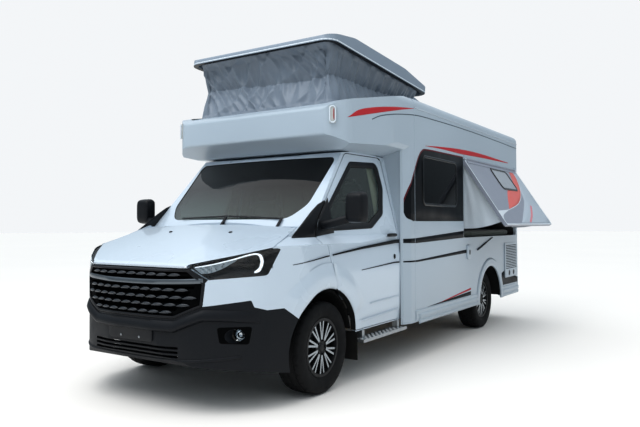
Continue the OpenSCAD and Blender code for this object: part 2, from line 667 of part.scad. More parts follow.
module front_suspension() color("black") both_sides() {
    block(-10, 560, -70, 70, axle_z - 56, axle_z + 24);
    block(rail_x, rail_x + rail_w, -60, 60, axle_z + 14, rail_z0 - seam);
    // lower arm, pointed so that the knuckle and its disc can turn past it
    along_z(axle_z - 56, axle_z - 11) polygon([[550, -45], [660, -38], [kingpin_x - knuckle_r - seam, -14],
        [kingpin_x - knuckle_r - seam, 14], [660, 38], [550, 45]]);
    rod_z(axle_z - 16, axle_z + arch_r - 8, 640, 0, 42);
    rod_z(axle_z + 164, axle_z + 334, 640, 0, 62);
}

module rear_axle() color("black") {
    rod_x(-wheel_x + 120, wheel_x - 120, wheelbase, axle_z, 50);
    rod_y(wheelbase - 150, wheelbase + 130, 0, axle_z + 10, 125);
    rod_y(700 + seam, wheelbase - 120, 0, axle_z + 60, 34);
    both_sides() {
        rod_x(wheel_x - 130, wheel_x - 60, wheelbase, axle_z, 150);
        rod_x(wheel_x - 70, wheel_x + 30 - run_clear, wheelbase, axle_z, 70);
        rod_x(wheel_x, wheel_x + 75, wheelbase, axle_z, spigot_r);
    }
}

module leaf_springs() color("black") both_sides() along_x(rail_x + 4, rail_x + rail_w - 4)
    translate([wheelbase, 0]) polygon([
        [-700, rail_z0 - 30], [-350, axle_z + 66], [-110, axle_z + 50 + seam], [110, axle_z + 50 + seam],
        [350, axle_z + 66], [700, rail_z0 - 30], [700, rail_z0 - seam], [640, rail_z0 - seam],
        [350, axle_z + 96], [0, axle_z + 84], [-350, axle_z + 96], [-640, rail_z0 - seam], [-700, rail_z0 - seam]]);

module fuel_tank() color("black") along_y(1560, 2420)
    outline([[rail_x + rail_w + seam, rail_top - 220, 60], [870, rail_top - 220, 60], [870, rail_top - 65, 40],
             [rail_x + rail_w + seam, rail_top - 65, 0]]);

exhaust_z = rail_top - 160;
module exhaust() color("silver") {
    rod_y(1700, 2350, -690, exhaust_z, 85);
    rod_y(900, 1710, -690, exhaust_z, 28);
    rod_y(2340, 3050, -690, exhaust_z, 28);
    block(-640, -rail_x - rail_w - seam, 1980, 2040, exhaust_z + 40, exhaust_z + 80);
}

// Steering knuckles and wheels

knuckle_r = 80;
module knuckle() {
    rod_z(axle_z - 100, axle_z + 108, kingpin_x, 0, knuckle_r);
    rod_x(kingpin_x - 50, kingpin_x - 12, 0, axle_z, 150);
    rod_x(kingpin_x, wheel_x + 30 - run_clear, 0, axle_z, 70);
    rod_x(wheel_x, wheel_x + 75, 0, axle_z, spigot_r);
}
module knuckle_left() color("dimgray") knuckle();
module knuckle_right() color("dimgray") mirror([1, 0, 0]) knuckle();

// one corner of the vehicle: station and side
module at_wheel(s, side) translate([0, st(s), axle_z]) mirror([side < 0 ? 1 : 0, 0, 0]) translate([wheel_x, 0, 0]) rotate([0, 90, 0]) children();
tyre_half = tyre_w / 2;
bead_r = tyre_d * 0.3;
// height of the sidewall, and half the section from tread centre to bead: radius, half width, corner radius
side_h = tyre_d / 2 - bead_r;
tyre_half_pts = [[tyre_d / 2 - 2, tyre_half - 30, 18], [tyre_d / 2 - 0.28 * side_h, tyre_half - 2, 0.27 * side_h],
                 [tyre_d / 2 - 0.63 * side_h, tyre_half, 0.2 * side_h], [tyre_d / 2 - 0.84 * side_h, tyre_half - 12, 9],
                 [bead_r + 13, 89, 0], [bead_r, 89, 0], [bead_r, 68, 0], [bead_r + 16, 68, 0],
                 [tyre_d / 2 - 0.67 * side_h, tyre_half - 18, 9], [tyre_d / 2 - 0.21 * side_h, tyre_half - 26, 9]];
module tyre() rotate_extrude() outline(concat(
    [[tyre_d / 2, 0, 0]], tyre_half_pts, [[tyre_d / 2 - 18, 0, 0]],
    [for (i = [len(tyre_half_pts) - 1:-1:0]) [tyre_half_pts[i].x, -tyre_half_pts[i].y, tyre_half_pts[i][2]]]), 3);
module rim() {
    rotate_extrude() polygon([[bead_r - seam, -89 - seam], [bead_r + 12, -89 - seam], [bead_r + 12, -98], [bead_r - 14, -98],
        [bead_r - 18, 60], [bead_r - 10, 98], [bead_r + 12, 98], [bead_r + 12, 89 + seam], [bead_r - seam, 89 + seam]]);
    difference() {
        union() {
            translate([0, 0, 30]) cylinder(h = 52, r = 74);
            for (i = [0:spoke_n - 1], k = [-1, 1]) rotate([0, 0, i * 360 / spoke_n])
                translate([0, 0, 58]) linear_extrude(32) polygon([
                    [60, k * 3 - 7], [bead_r - 14, k * 24 - 8], [bead_r - 14, k * 24 + 8], [60, k * 3 + 7]]);
        }
        translate([0, 0, -1]) cylinder(h = 76 + run_clear, r = spigot_r + run_clear);
    }
}
module tyre_front_left() color("black") at_wheel(0, 1) tyre();
module tyre_front_right() color("black") at_wheel(0, -1) tyre();
module tyre_rear_left() color("black") at_wheel(wheelbase, 1) tyre();
module tyre_rear_right() color("black") at_wheel(wheelbase, -1) tyre();
module rim_front_left() color("silver") at_wheel(0, 1) rim();
module rim_front_right() color("silver") at_wheel(0, -1) rim();
module rim_rear_left() color("silver") at_wheel(wheelbase, 1) rim();
module rim_rear_right() color("silver") at_wheel(wheelbase, -1) rim();

// Pop-top: lid, brackets of its arms, canvas

function lid_line(s) = lid_z_front + (s - lid_front) * lid_slope;
module lid_plan(d, z0, z1) along_z(z0, z1) outline(box_pts(d - lid_half, lid_half - d, lid_front + d, lid_back - d, 120 - d));
// everything drawn for the closed lid, swung up to where it stands
module raised() translate([0, st(lid_hinge_s), lid_hinge_z]) rotate([-lid_open, 0, 0]) translate([0, -st(lid_hinge_s), -lid_hinge_z]) children();
lid_arm_x = 560;
module poptop_lid() color("slategray") raised() {
    difference() {
        intersection() {
            lid_plan(0, 2000, 3000);
            along_x(-1000, 1000) outline([[lid_front, lid_line(lid_front), 0], [lid_back, lid_line(lid_back), 0],
                [lid_back, lid_line(lid_back) + 62, 25], [1800, lid_line(1800) + 132, 900], [760, lid_line(760) + 124, 500],
                [lid_front, lid_line(lid_front) + 52, 25]]);
        }
        intersection() {
            lid_plan(45, 1900, 3000);
            along_x(-1000, 1000) polygon([[lid_front, lid_line(lid_front) - 50], [lid_back, lid_line(lid_back) - 50],
                [lid_back, lid_line(lid_back) + 32], [1800, lid_line(1800) + 92], [760, lid_line(760) + 86],
                [lid_front, lid_line(lid_front) + 24]]);
        }
    }
    both_sides() difference() {
        union() {
            block(lid_arm_x, lid_arm_x + 30, lid_back - 40, lid_hinge_s, lid_hinge_z - 18, lid_hinge_z + 14);
            rod_x(lid_arm_x, lid_arm_x + 30, lid_hinge_s, lid_hinge_z, 26);
        }
        rod_x(lid_arm_x - 10, lid_arm_x + 40, lid_hinge_s, lid_hinge_z, 12 + run_clear);
    }
}
module lid_brackets() color("silver") both_sides() {
    rod_x(lid_arm_x - 20, lid_arm_x + 50, lid_hinge_s, lid_hinge_z, 12);
    for (x = [lid_arm_x - 25, lid_arm_x + 30 + run_clear]) difference() {
        along_x(x, x + 25 - run_clear) outline([[lid_hinge_s - 60, roof_z + seam, 0], [lid_hinge_s + 60, roof_z + seam, 0],
            [lid_hinge_s + 24, lid_hinge_z + 24, 24], [lid_hinge_s - 24, lid_hinge_z + 24, 24]]);
    }
}
module tent() color("slategray") intersection() {
    along_z(1900, 3300) difference() {
        outline(box_pts(60 - lid_half, lid_half - 60, lid_front + 60, lid_back - 60, 90));
        outline(box_pts(70 - lid_half, lid_half - 70, lid_front + 70, lid_back - 70, 80));
    }
    along_x(-1000, 1000) polygon([[0, lid_line(0) - 2 + seam], [3000, lid_line(3000) - 2 + seam], [3000, 2600], [3000, 3300], [0, 3300]]);
    raised() along_x(-1000, 1000) polygon([[-300, lid_line(-300) + 24], [-300, 1000], [3200, 1000], [3200, lid_line(3200) + 24]]);
}

// Side hatch: panel, window, canvas cheeks

module swung() translate([hatch_axis_x, 0, hatch_z1]) rotate([0, -hatch_open, 0]) translate([-hatch_axis_x, 0, -hatch_z1]) children();
hatch_pane = [1, hatch_s0 + 0.4 * hatch_len, 640, hatch_z1 - 365, hatch_z1 - 65];
module hatch_panel() color("silver") swung() {
    along_x(box_half - wall_t, box_half) difference() {
        outline(box_pts(hatch_s0, hatch_s1, hatch_z0, hatch_z1, 25));
        pane_outline(hatch_pane, 0);
    }
    rod_y(hatch_s0 + 62 + seam, hatch_s1 - 62 - seam, hatch_axis_x, hatch_z1, 9);
    block(box_half - 4, box_half + 6, hatch_s0 + 62 + seam, hatch_s1 - 62 - seam, hatch_z1 - 50, hatch_z1 - 2);
}
module hatch_window() color("black") swung() along_x(box_half + 4 - pane_t, box_half + 4) pane_outline(hatch_pane, seam);
module hatch_cheeks() color("slategray") for (s = [hatch_s0 + 40, hatch_s1 - 44])
    difference() {
        along_y(s, s + 4) polygon([[box_half - wall_t - 1, hatch_z0 + 94], [box_half + 25, hatch_z0 + 94],
            [box_half + 520, hatch_z0 + 150], [box_half + 20, hatch_z1 - 12], [box_half - wall_t - 1, hatch_z1 - 12]]);
        swung() block(box_half - wall_t - seam, box_half + 800, 0, 6000, 0, 3000);
        block(box_half - wall_t - 30, box_half, 0, 6000, hatch_z1 + shut_gap - 1, 3000);
    }

module entry_door() color("white") {
    difference() {
        along_x(-box_half, -box_half + wall_t) outline(box_pts(entry_s0, entry_s0 + entry_w, entry_z0, entry_z1, 45));
        along_x(-box_half - 1, -box_half + 6) outline(box_pts(entry_s0 + 130, entry_s0 + entry_w - 130, 1560, 2060, 50));
    }
    for (z = entry_hinges) {
        rod_z(z - 20, z + 20, entry_axis_x, entry_s0 - 3.5, 9);
        block(-box_half - 8, -box_half + 4, entry_s0 - 3.5, entry_s0 + 60, z - 20, z + 20);
    }
    // grip
    block(-box_half - 22, -box_half - 14, entry_s0 + entry_w - 90, entry_s0 + entry_w - 66, 1240, 1400);
    for (z = [1240, 1385]) block(-box_half - 16, -box_half + 2, entry_s0 + entry_w - 90, entry_s0 + entry_w - 66, z, z + 15);
}

frame_rails();
cross_members();
engine_block();
front_suspension();
rear_axle();
leaf_springs();
fuel_tank();
exhaust();
cab_shell();
bonnet();
windscreen();
front_bumper();
grille();
front_lamps();
wipers();
dashboard();
steering_wheel();
cab_seats();
wheel_liners();
alcove();
wall_left();
wall_right();
wall_rear();
roof();
floor_panel();
roof_coaming();
windows();
skirts();
rear_bumper();
tail_lamps();
marker_lamps();
vent_grille();
side_steps();
mudflaps();
bed();
lid_brackets();
tent();
hatch_cheeks();
poptop_lid();
hatch_panel();
hatch_window();
cab_door_left();
cab_door_right();
door_glass_left();
door_glass_right();
mirror_left();
mirror_right();
entry_door();
knuckle_left();
knuckle_right();
tyre_front_left();
tyre_front_right();
tyre_rear_left();
tyre_rear_right();
rim_front_left();
rim_front_right();
rim_rear_left();
rim_rear_right();
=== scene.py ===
# %% [markdown]
# # Dressing a coach-built camper
# The construction model gives every rigid part of the vehicle in its place. This
# lesson adds what such a model leaves plain: paint, glass, canvas, upholstery, tyre
# tread and trim. Each step says what the real piece is, how it could be made in
# Blender, and why it is made this way.

import bmesh
import bpy
import numpy as np
from mathutils import Matrix


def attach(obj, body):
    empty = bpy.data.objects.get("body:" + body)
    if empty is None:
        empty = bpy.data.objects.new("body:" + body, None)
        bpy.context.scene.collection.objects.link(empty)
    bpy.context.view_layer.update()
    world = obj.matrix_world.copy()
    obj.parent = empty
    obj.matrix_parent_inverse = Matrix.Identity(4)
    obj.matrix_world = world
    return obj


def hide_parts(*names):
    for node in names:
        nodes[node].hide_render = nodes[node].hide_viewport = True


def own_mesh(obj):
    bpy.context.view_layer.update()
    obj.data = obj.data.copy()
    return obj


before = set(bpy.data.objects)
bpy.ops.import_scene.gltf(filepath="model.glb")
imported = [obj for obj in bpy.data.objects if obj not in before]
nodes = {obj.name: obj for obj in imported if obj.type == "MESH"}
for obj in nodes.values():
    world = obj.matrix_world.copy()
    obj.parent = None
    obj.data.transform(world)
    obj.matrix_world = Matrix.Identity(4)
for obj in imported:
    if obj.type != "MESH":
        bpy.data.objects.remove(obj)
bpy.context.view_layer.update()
FRONT_AXLE_Y = -1.970
AXLE_Z = 356.0
WHEELBASE = 3750.0
BOX_HALF = 1080.0
SIDES = ((1, "left"), (-1, "right"))


def place(x, s, z):
    """Points in metres from x, station s and height z in millimetres; stations run rearward
    from the front axle."""
    return np.stack(np.broadcast_arrays(x, s, z), -1) / 1000 + (0, FRONT_AXLE_Y, 0)


def spot(points, side=1):
    """The same from one array of (x, s, z); a side of -1 mirrors it to the vehicle's right."""
    return place(side * points[..., 0], points[..., 1], points[..., 2])


# %% [markdown]
# ## Camera
# The photograph was taken from just ahead of the left front wing at eye height. Its
# place and lens were worked out from known sizes of the vehicle, so the camera is set
# by numbers: three unit vectors become the columns of its turn, and the lens shift
# puts the optical axis where the photograph has it.

# %% Camera at the photograph's angle
AZIMUTH, ELEVATION, ROLL = np.radians([33.87, -1.26, -0.18])
PHOTO_W, PHOTO_H, FOCAL_PX, AXIS_U, AXIS_V = 640, 427, 632.8, 306.6, 210.4
SENSOR = 36.0
forward = np.array([-np.sin(AZIMUTH) * np.cos(ELEVATION), np.cos(AZIMUTH) * np.cos(ELEVATION),
                    -np.sin(ELEVATION)])
level = np.array([np.cos(AZIMUTH), np.sin(AZIMUTH), 0])
upright = np.cross(level, forward)
right = level * np.cos(ROLL) + upright * np.sin(ROLL)
up = upright * np.cos(ROLL) - level * np.sin(ROLL)
lens = bpy.data.cameras.new("photo_camera")
camera = bpy.data.objects.new("photo_camera", lens)
turned = Matrix(np.column_stack([right, up, -forward]).tolist()).to_4x4()
camera.matrix_world = Matrix.Translation(place(3604.7, -4140.2, 1306.3)) @ turned
lens.sensor_width, lens.lens = SENSOR, FOCAL_PX / PHOTO_W * SENSOR
lens.shift_x, lens.shift_y = (PHOTO_W / 2 - AXIS_U) / PHOTO_W, (AXIS_V - PHOTO_H / 2) / PHOTO_W
lens.clip_end = 300
bpy.context.scene.collection.objects.link(camera)
bpy.context.scene.camera = camera
print("camera at", np.round(camera.location, 2), "lens", round(lens.lens, 1))

# %% [markdown]
# ## Two small tools for materials
# Colours are written as the sRGB hex values that a paint chart or a picture editor
# shows, and turned to the linear values that the renderer adds up. One function adds a
# node with its settings and its links, so a material reads as a short list.

# %% Colour and node tools
def linear(code, gain=1.0):
    """Linear RGBA of an sRGB hex code: a channel c gives ((c + 0.055) / 1.055) ^ 2.4, or
    c / 12.92 when dark."""
    c = np.array([int(code[i:i + 2], 16) for i in (1, 3, 5)]) / 255
    c = np.where(c > 0.04045, ((c + 0.055) / 1.055) ** 2.4, c / 12.92)
    return tuple(float(v) for v in np.minimum(c * gain, 1.0)) + (1.0,)


def node(tree, kind, into=None, **settings):
    """Adds a node; settings are its properties, into gives each socket a value or another node's output."""
    made = tree.nodes.new(kind)
    for name, value in settings.items():
        setattr(made, name, value)
    for socket, value in (into or {}).items():
        if isinstance(value, bpy.types.NodeSocket):
            tree.links.new(value, made.inputs[socket])
        else:
            made.inputs[socket].default_value = value
    return made


print("sRGB #808080 is", round(linear("#808080")[0], 3), "in linear light")

# %% [markdown]
# ## One recipe for painted and moulded surfaces
# Paint, gelcoat and moulded plastic all vary a little: in tone over a hand's width, in gloss with it, and in
# height by their grain. A picture could give that, but it would have to be wrapped round every part. Noise in
# Object coordinates runs through all of them without a seam. Road dust greys the lower parts, and a band can
# darken glass toward its top, a painted dark reflection.

# %% Recipe for painted and moulded surfaces
DUST, DUST_FULL_Z, DUST_NONE_Z = "#7f7a72", 0.2, 0.9


def finish(name, code, roughness, mottle=(300, 0.03), grain=(4, 0.01), dust=0.0, band=None, **sockets):
    """A moulded, cast or painted surface. Colour and roughness drift with a soft noise (mottle: size
    in mm, share), a finer noise is its grain (size and height in mm), dust greys it toward the road,
    and a band (two heights in m, colour) tints it upward. Other names are sockets of the shader that
    are the same all over, with _ for a space."""
    made = bpy.data.materials.new(name)
    made.use_nodes = True
    tree = made.node_tree
    shader = tree.nodes["Principled BSDF"]
    where = node(tree, "ShaderNodeTexCoord").outputs["Object"]
    drift = node(tree, "ShaderNodeTexNoise", {"Vector": where, "Scale": 1000 / mottle[0],
                                              "Detail": 3.0}).outputs[0]
    paint = node(tree, "ShaderNodeMix", {0: drift, 6: linear(code, 1 - 2 * mottle[1]),
                                         7: linear(code, 1 + 2 * mottle[1])},
                 data_type="RGBA").outputs[2]
    height = node(tree, "ShaderNodeSeparateXYZ", {0: where}).outputs["Z"]
    if band:
        rise = node(tree, "ShaderNodeMapRange",
                    {"Value": height, "From Min": band[0], "From Max": band[1]}).outputs[0]
        paint = node(tree, "ShaderNodeMix", {0: rise, 6: paint, 7: linear(band[2])},
                     data_type="RGBA").outputs[2]
    if dust:
        low = node(tree, "ShaderNodeMapRange",
                   {"Value": height, "From Min": DUST_FULL_Z, "From Max": DUST_NONE_Z, "To Min": dust,
                    "To Max": 0.0}).outputs[0]
        paint = node(tree, "ShaderNodeMix", {0: low, 6: paint, 7: linear(DUST)},
                     data_type="RGBA").outputs[2]
    tree.links.new(paint, shader.inputs["Base Color"])
    shine = node(tree, "ShaderNodeMapRange", {"Value": drift, "From Min": 0.3, "From Max": 0.7,
                                              "To Min": roughness * 0.85,
                                              "To Max": min(1.0, roughness * 1.15)}).outputs[0]
    tree.links.new(shine, shader.inputs["Roughness"])
    grit = node(tree, "ShaderNodeTexNoise", {"Vector": where, "Scale": 1000 / grain[0],
                                             "Detail": 2.0}).outputs[0]
    bump = node(tree, "ShaderNodeBump", {"Height": grit, "Strength": 1.0, "Distance": grain[1] / 1000})
    tree.links.new(bump.outputs[0], shader.inputs["Normal"])
    for socket, value in sockets.items():
        shader.inputs[socket.replace("_", " ")].default_value = value
    return made


print("road dust fades out from", DUST_FULL_Z, "to", DUST_NONE_Z, "m above the ground")

# %% [markdown]
# ## Paint and mouldings
# The cab is sprayed steel: a smooth white enamel under clear lacquer, so it shows a
# faint orange peel and clean reflections. The living box is glass-fibre with a moulded
# gelcoat, a little softer in gloss and slightly wavy. The bumper is grained
# polypropylene that never shines. The orange peel and the grain are finer than a pixel
# here, so they are drawn a few millimetres wide to show at all.

# %% Painted and moulded finishes
# Sprayed enamel under lacquer: clean reflections over a faint orange peel.
enamel_white = finish("white_enamel_on_steel", "#c3d0dc", 0.3, (700, 0.015), (9, 0.012), 0.10,
                      Coat_Weight=0.7, Coat_Roughness=0.05)
# Gelcoat takes the mould's slow waves, so its reflections are soft and bend a little.
gelcoat_white = finish("white_gelcoat", "#adbac5", 0.38, (900, 0.025), (140, 0.12), 0.14, Coat_Weight=0.25,
                       Coat_Roughness=0.15)
gelcoat_grey = finish("grey_gelcoat", "#8592a0", 0.5, (500, 0.04), (30, 0.08), Coat_Weight=0.15,
                      Coat_Roughness=0.3)
# Extruded PVC and the film on the hatch panel are even and half matt.
edge_white = finish("white_pvc_extrusion", "#dde6ed", 0.35, (300, 0.02), (20, 0.02), Coat_Weight=0.2,
                    Coat_Roughness=0.2)
panel_grey = finish("grey_vinyl_on_panel", "#8e94a1", 0.42, (400, 0.03), (60, 0.03))
# Black plastics differ by grain: the bumper stays dull, polished ABS mirrors, the grille swallows light, a
# painted shade.
bumper_pp = finish("grained_polypropylene", "#11151b", 0.5, (180, 0.08), (7, 0.12), 0.02,
                   Specular_IOR_Level=0.22)
gloss_abs = finish("gloss_black_abs", "#0a0c0f", 0.2, (250, 0.05), (12, 0.01), Specular_IOR_Level=0.3,
                   Coat_Weight=0.2, Coat_Roughness=0.05)
satin_abs = finish("satin_black_abs", "#101318", 0.42, (120, 0.06), (5, 0.05), Specular_IOR_Level=0.28)
# A near-unlit black paints the shade in recesses: the grille's openings, the fog-lamp pockets, behind the
# vent.
black_with_painted_shade = finish("matte_black_abs_with_painted_shade", "#050607", 0.9, (60, 0.1), (5, 0.1), Specular_IOR_Level=0.05)
# The grille blades' grey is partly a painted highlight on their satin edges.
blade_abs_with_painted_highlight = finish("grey_abs_with_painted_highlight", "#2a3037", 0.3, (80, 0.06), (6, 0.02), Specular_IOR_Level=0.6)
# Plated trim mirrors its surroundings, sharply where it is polished.
satin_metal = finish("satin_plated_trim", "#6a7177", 0.33, (60, 0.04), (8, 0.01), Metallic=0.9)
bright_metal = finish("bright_plated_trim", "#c9cfd4", 0.18, (60, 0.03), (8, 0.005), Metallic=1.0)
print("painted and moulded finishes ready")

# %% [markdown]
# ## Underside, wheels and lining
# Below the floor a vehicle is plain: thick black paint, rough castings and zinc plate.
# The wheels are cast alloy, the tyres and flaps rubber, and inside there is lining board
# and varnished ply. Each could have a recipe of its own, but the one above serves them
# all, with a coarser grain and more road dust.

# %% Finishes of underside, wheels and lining
# Below the floor: thick paint, rough castings and zinc plate, greyed by road dust.
chassis_paint = finish("black_chassis_paint", "#17191b", 0.6, (90, 0.12), (12, 0.2), 0.35)
cast_metal = finish("cast_iron_and_alloy", "#4b4e50", 0.55, (50, 0.12), (6, 0.25), 0.2, Metallic=0.6)
steel_plain = finish("zinc_plated_steel", "#8f9498", 0.36, (40, 0.08), (5, 0.04), Metallic=0.9)
# Rubber returns little light and shows as soft black.
rubber = finish("moulded_rubber", "#0d0f11", 0.7, (70, 0.1), (6, 0.1), 0.05, Specular_IOR_Level=0.15)
tyre_rubber = finish("tyre_rubber", "#101215", 0.72, (60, 0.12), (5, 0.15), 0.03, Specular_IOR_Level=0.15)
# The wheels are painted dark and turned bright in front; mill aluminium is duller.
alloy_bright = finish("turned_alloy", "#a9b0b6", 0.28, (30, 0.04), (3, 0.02), 0.06, Metallic=1.0)
alloy_dark = finish("dark_painted_alloy", "#15181c", 0.4, (50, 0.06), (5, 0.03), 0.03, Metallic=0.2,
                    Specular_IOR_Level=0.3)
aluminium = finish("mill_aluminium", "#aab0b4", 0.34, (35, 0.06), (4, 0.03), 0.1, Metallic=0.95)
# Inside: grained polypropylene, matt lining board and ply with a silky varnish.
trim_pp = finish("interior_polypropylene", "#1f2226", 0.6, (150, 0.06), (5, 0.1))
lining = finish("grey_lining_board", "#414343", 0.65, (200, 0.04), (8, 0.08))
plywood = finish("varnished_plywood", "#a88a62", 0.45, (35, 0.12), (10, 0.04))
print("finishes of underside, wheels and lining ready")

# %% [markdown]
# ## Clear and lit plastics
# Glass and lamp covers are see-through, so their colour is what they absorb. The windscreen is clear
# laminated glass that darkens toward its top, a painted dark reflection, the living-box panes are deeply
# smoked acrylic that looks black from outside, and lamp covers are polycarbonate. The hatch's pane looks
# pale, as with its blind drawn; a second sheet behind clear acrylic would do that too, but here one opaque,
# glossy finish is enough.
# A lamp's light guide is given a faint glow although the lamp is off: a painted highlight for the daylight it
# gathers.

# %% Glass and lamp finishes
# Clear sheets: light passes, and a thin coat gives the reflection. The windscreen darkens upward in a painted
# dark reflection.
door_glass_clear = finish("toughened_glass", "#c3cfc9", 0.03, (600, 0.02), (400, 0.01),
                          Transmission_Weight=0.97, IOR=1.15, Coat_Weight=0.5, Coat_Roughness=0.02)
screen_glass = finish("laminated_glass", "#a3b3ae", 0.03, (600, 0.02), (400, 0.01), 0.0,
                      (1.36, 1.64, "#0a0f10"),
                      Transmission_Weight=0.94, IOR=1.2, Coat_Weight=0.6, Coat_Roughness=0.02)
# Smoked acrylic looks black; with a pale blind drawn behind it, a pane looks grey.
smoked_acrylic = finish("smoked_acrylic", "#0b0d0f", 0.08, (400, 0.05), (300, 0.05), Specular_IOR_Level=0.12)
blind_pane = finish("acrylic_over_pale_blind", "#9b9fa6", 0.16, (120, 0.05), (90, 0.03), Coat_Weight=0.5,
                    Coat_Roughness=0.05)
# Lamp parts: a clear cover, a guide with a painted glow, and reflectors from frosted to mirror bright.
lamp_cover = finish("clear_polycarbonate", "#eef2f4", 0.04, (200, 0.02), (60, 0.01),
                    Transmission_Weight=1.0, IOR=1.04,
                    Specular_IOR_Level=0.2, Coat_Weight=0.3, Coat_Roughness=0.02)
light_guide = finish("acrylic_light_guide", "#eef3f8", 0.25, (40, 0.02), (6, 0.02),
                     Emission_Color=linear("#eef4fb"), Emission_Strength=0.35)
lamp_facets = finish("frosted_reflector", "#8e989f", 0.3, (18, 0.12), (9, 0.1), Metallic=0.7)
reflector = finish("aluminised_reflector", "#c8cdd1", 0.12, (25, 0.05), (10, 0.03), Metallic=1.0)
# Coloured and milky lenses are glossy outside and cloudy within.
red_lens = finish("red_polycarbonate", "#a3141b", 0.14, (30, 0.08), (9, 0.05), Coat_Weight=0.8,
                  Coat_Roughness=0.05)
milky_lens = finish("milky_polycarbonate", "#bfc1bf", 0.16, (30, 0.08), (9, 0.05), Coat_Weight=0.7,
                    Coat_Roughness=0.05)
mirror_glass = finish("silvered_glass", "#dfe5e8", 0.03, (100, 0.01), (100, 0.002), Metallic=1.0)
# Cast vinyl film is flat in colour with a weak sheen.
# The grey-blue #55616b is a painted shadow along a crease of the moulding.
vinyl = {colour: finish(f"{colour}_cast_vinyl", code, 0.4, (200, 0.03), (20, 0.01), 0.0,
                        Specular_IOR_Level=0.08)
         for colour, code in dict(red="#b8383e", dark="#0f1318", maroon="#5d1d27",
                                  salmon="#d9736d", pink="#d98d97",
                                  pale="#b3bec8", white="#d5dce3", painted_crease_shadow="#55616b").items()}
print("clear finishes ready,", len(vinyl), "vinyl colours")

# %% [markdown]
# ## Woven finishes
# Canvas, curtain and seat cloth are woven, so they scatter light softly, show a sheen at
# grazing angles and carry two crossing sets of threads. The threads follow the piece's
# own UV map, which is laid out in metres. Real threads are about half a millimetre
# apart; they are drawn coarser so that the weave still shows in the picture.

# %% Woven finishes
def woven(name, code, thread_mm, relief_mm, sheen=0.4, slub=0.05, roughness=0.85):
    """Two wave patterns at right angles on the UV map are the threads; a long noise along them
    is the slub of the yarn."""
    made = bpy.data.materials.new(name)
    made.use_nodes = True
    tree = made.node_tree
    shader = tree.nodes["Principled BSDF"]
    cloth = node(tree, "ShaderNodeTexCoord").outputs["UV"]
    scale = 1000 / thread_mm / 6.2832 * 2
    warp, weft = (node(tree, "ShaderNodeTexWave",
                       {"Vector": cloth, "Scale": scale, "Distortion": 0.6, "Detail": 1.0},
                       bands_direction=way).outputs[1] for way in ("X", "Y"))
    threads = node(tree, "ShaderNodeMath", {0: warp, 1: weft}, operation="MULTIPLY").outputs[0]
    drift = node(tree, "ShaderNodeTexNoise", {"Vector": cloth, "Scale": 14.0, "Detail": 4.0}).outputs[0]
    tone = node(tree, "ShaderNodeMix", {0: drift, 6: linear(code, 1 - 3 * slub),
                                        7: linear(code, 1 + 3 * slub)},
                data_type="RGBA").outputs[2]
    shade = node(tree, "ShaderNodeMix", {0: threads, 6: linear(code, 0.86), 7: tone},
                 data_type="RGBA").outputs[2]
    tree.links.new(shade, shader.inputs["Base Color"])
    bump = node(tree, "ShaderNodeBump", {"Height": threads, "Strength": 1.0, "Distance": relief_mm / 1000})
    tree.links.new(bump.outputs[0], shader.inputs["Normal"])
    shader.inputs["Roughness"].default_value = roughness
    shader.inputs["Sheen Weight"].default_value = sheen
    return made


# Coated canvas is tight and a little shiny; linen, seat cloth and ticking are dull and soft.
canvas = woven("coated_canvas", "#838f9d", 9, 0.12, 0.1, 0.05, 0.4)
# A darker copy of the canvas paints the shade on the band's upper half, which looks down.
canvas_painted_shade = woven("coated_canvas_with_painted_shade", "#6d7986", 9, 0.12, 0.1, 0.05, 0.4)
canvas_pale = woven("coated_canvas_pale", "#d4dee6", 9, 0.25, 0.25, 0.04, 0.7)
curtain_linen = woven("curtain_linen", "#efe6d2", 8, 0.3)
seat_cloth = woven("seat_cloth", "#33373c", 7, 0.4, 0.3, 0.08)
ticking = woven("mattress_cover", "#3b463f", 9, 0.4, 0.3, 0.06)
print("woven finishes ready")

# %% [markdown]
# ## Dressing the construction nodes
# Most rigid parts already have their real shape, so they stay and get a finish. Their
# meshes are loose triangles. Three modifiers make them shade like pressed panels: Weld
# joins the triangles, Edge Split keeps edges crisp past an angle, and Weighted Normal
# lets the big faces lead, so a rounded edge blends into a flat panel.

# %% Finishes of the construction nodes
def soften(part, degrees):
    """Welds the loose triangles, splits edges sharper than the angle and lets large faces
    lead the normals."""
    mesh = part.data
    stored = mesh.attributes.get("custom_normal")
    if stored:
        mesh.attributes.remove(stored)
    mesh.polygons.foreach_set("use_smooth", np.ones(len(mesh.polygons), bool))
    part.modifiers.new("joined", "WELD").merge_threshold = 2e-5
    edges = part.modifiers.new("crisp_edges", "EDGE_SPLIT")
    edges.split_angle, edges.use_edge_sharp = np.radians(degrees), False
    part.modifiers.new("panel_normals", "WEIGHTED_NORMAL").mode = "FACE_AREA_WITH_ANGLE"


dressed = {
    enamel_white: "cab_shell bonnet cab_door_left cab_door_right",
    gelcoat_white: "alcove wall_left wall_right wall_rear roof roof_coaming skirts rear_bumper vent_grille "
                   "entry_door",
    gelcoat_grey: "poptop_lid",
    panel_grey: "hatch_panel",
    bumper_pp: "front_bumper",
    # The grille is black plastic with painted shade in its openings.
    black_with_painted_shade: "grille",
    satin_abs: "wipers",
    screen_glass: "windscreen",
    door_glass_clear: "door_glass_left door_glass_right",
    smoked_acrylic: "windows",
    blind_pane: "hatch_window",
    lamp_cover: "front_lamps",
    red_lens: "tail_lamps",
    milky_lens: "marker_lamps",
    rubber: "mudflaps wheel_liners",
    aluminium: "side_steps",
    steel_plain: "lid_brackets exhaust",
    chassis_paint: "frame_rails cross_members front_suspension rear_axle leaf_springs fuel_tank",
    cast_metal: "engine_block knuckle_left knuckle_right",
    trim_pp: "dashboard steering_wheel",
    plywood: "floor_panel",
    alloy_dark: "rim_front_left rim_front_right rim_rear_left rim_rear_right",
}
for surface, names in dressed.items():
    for name in names.split():
        nodes[name].data.materials.clear()
        nodes[name].data.materials.append(surface)
        soften(nodes[name], 28)
print(sum(len(names.split()) for names in dressed.values()), "nodes dressed")
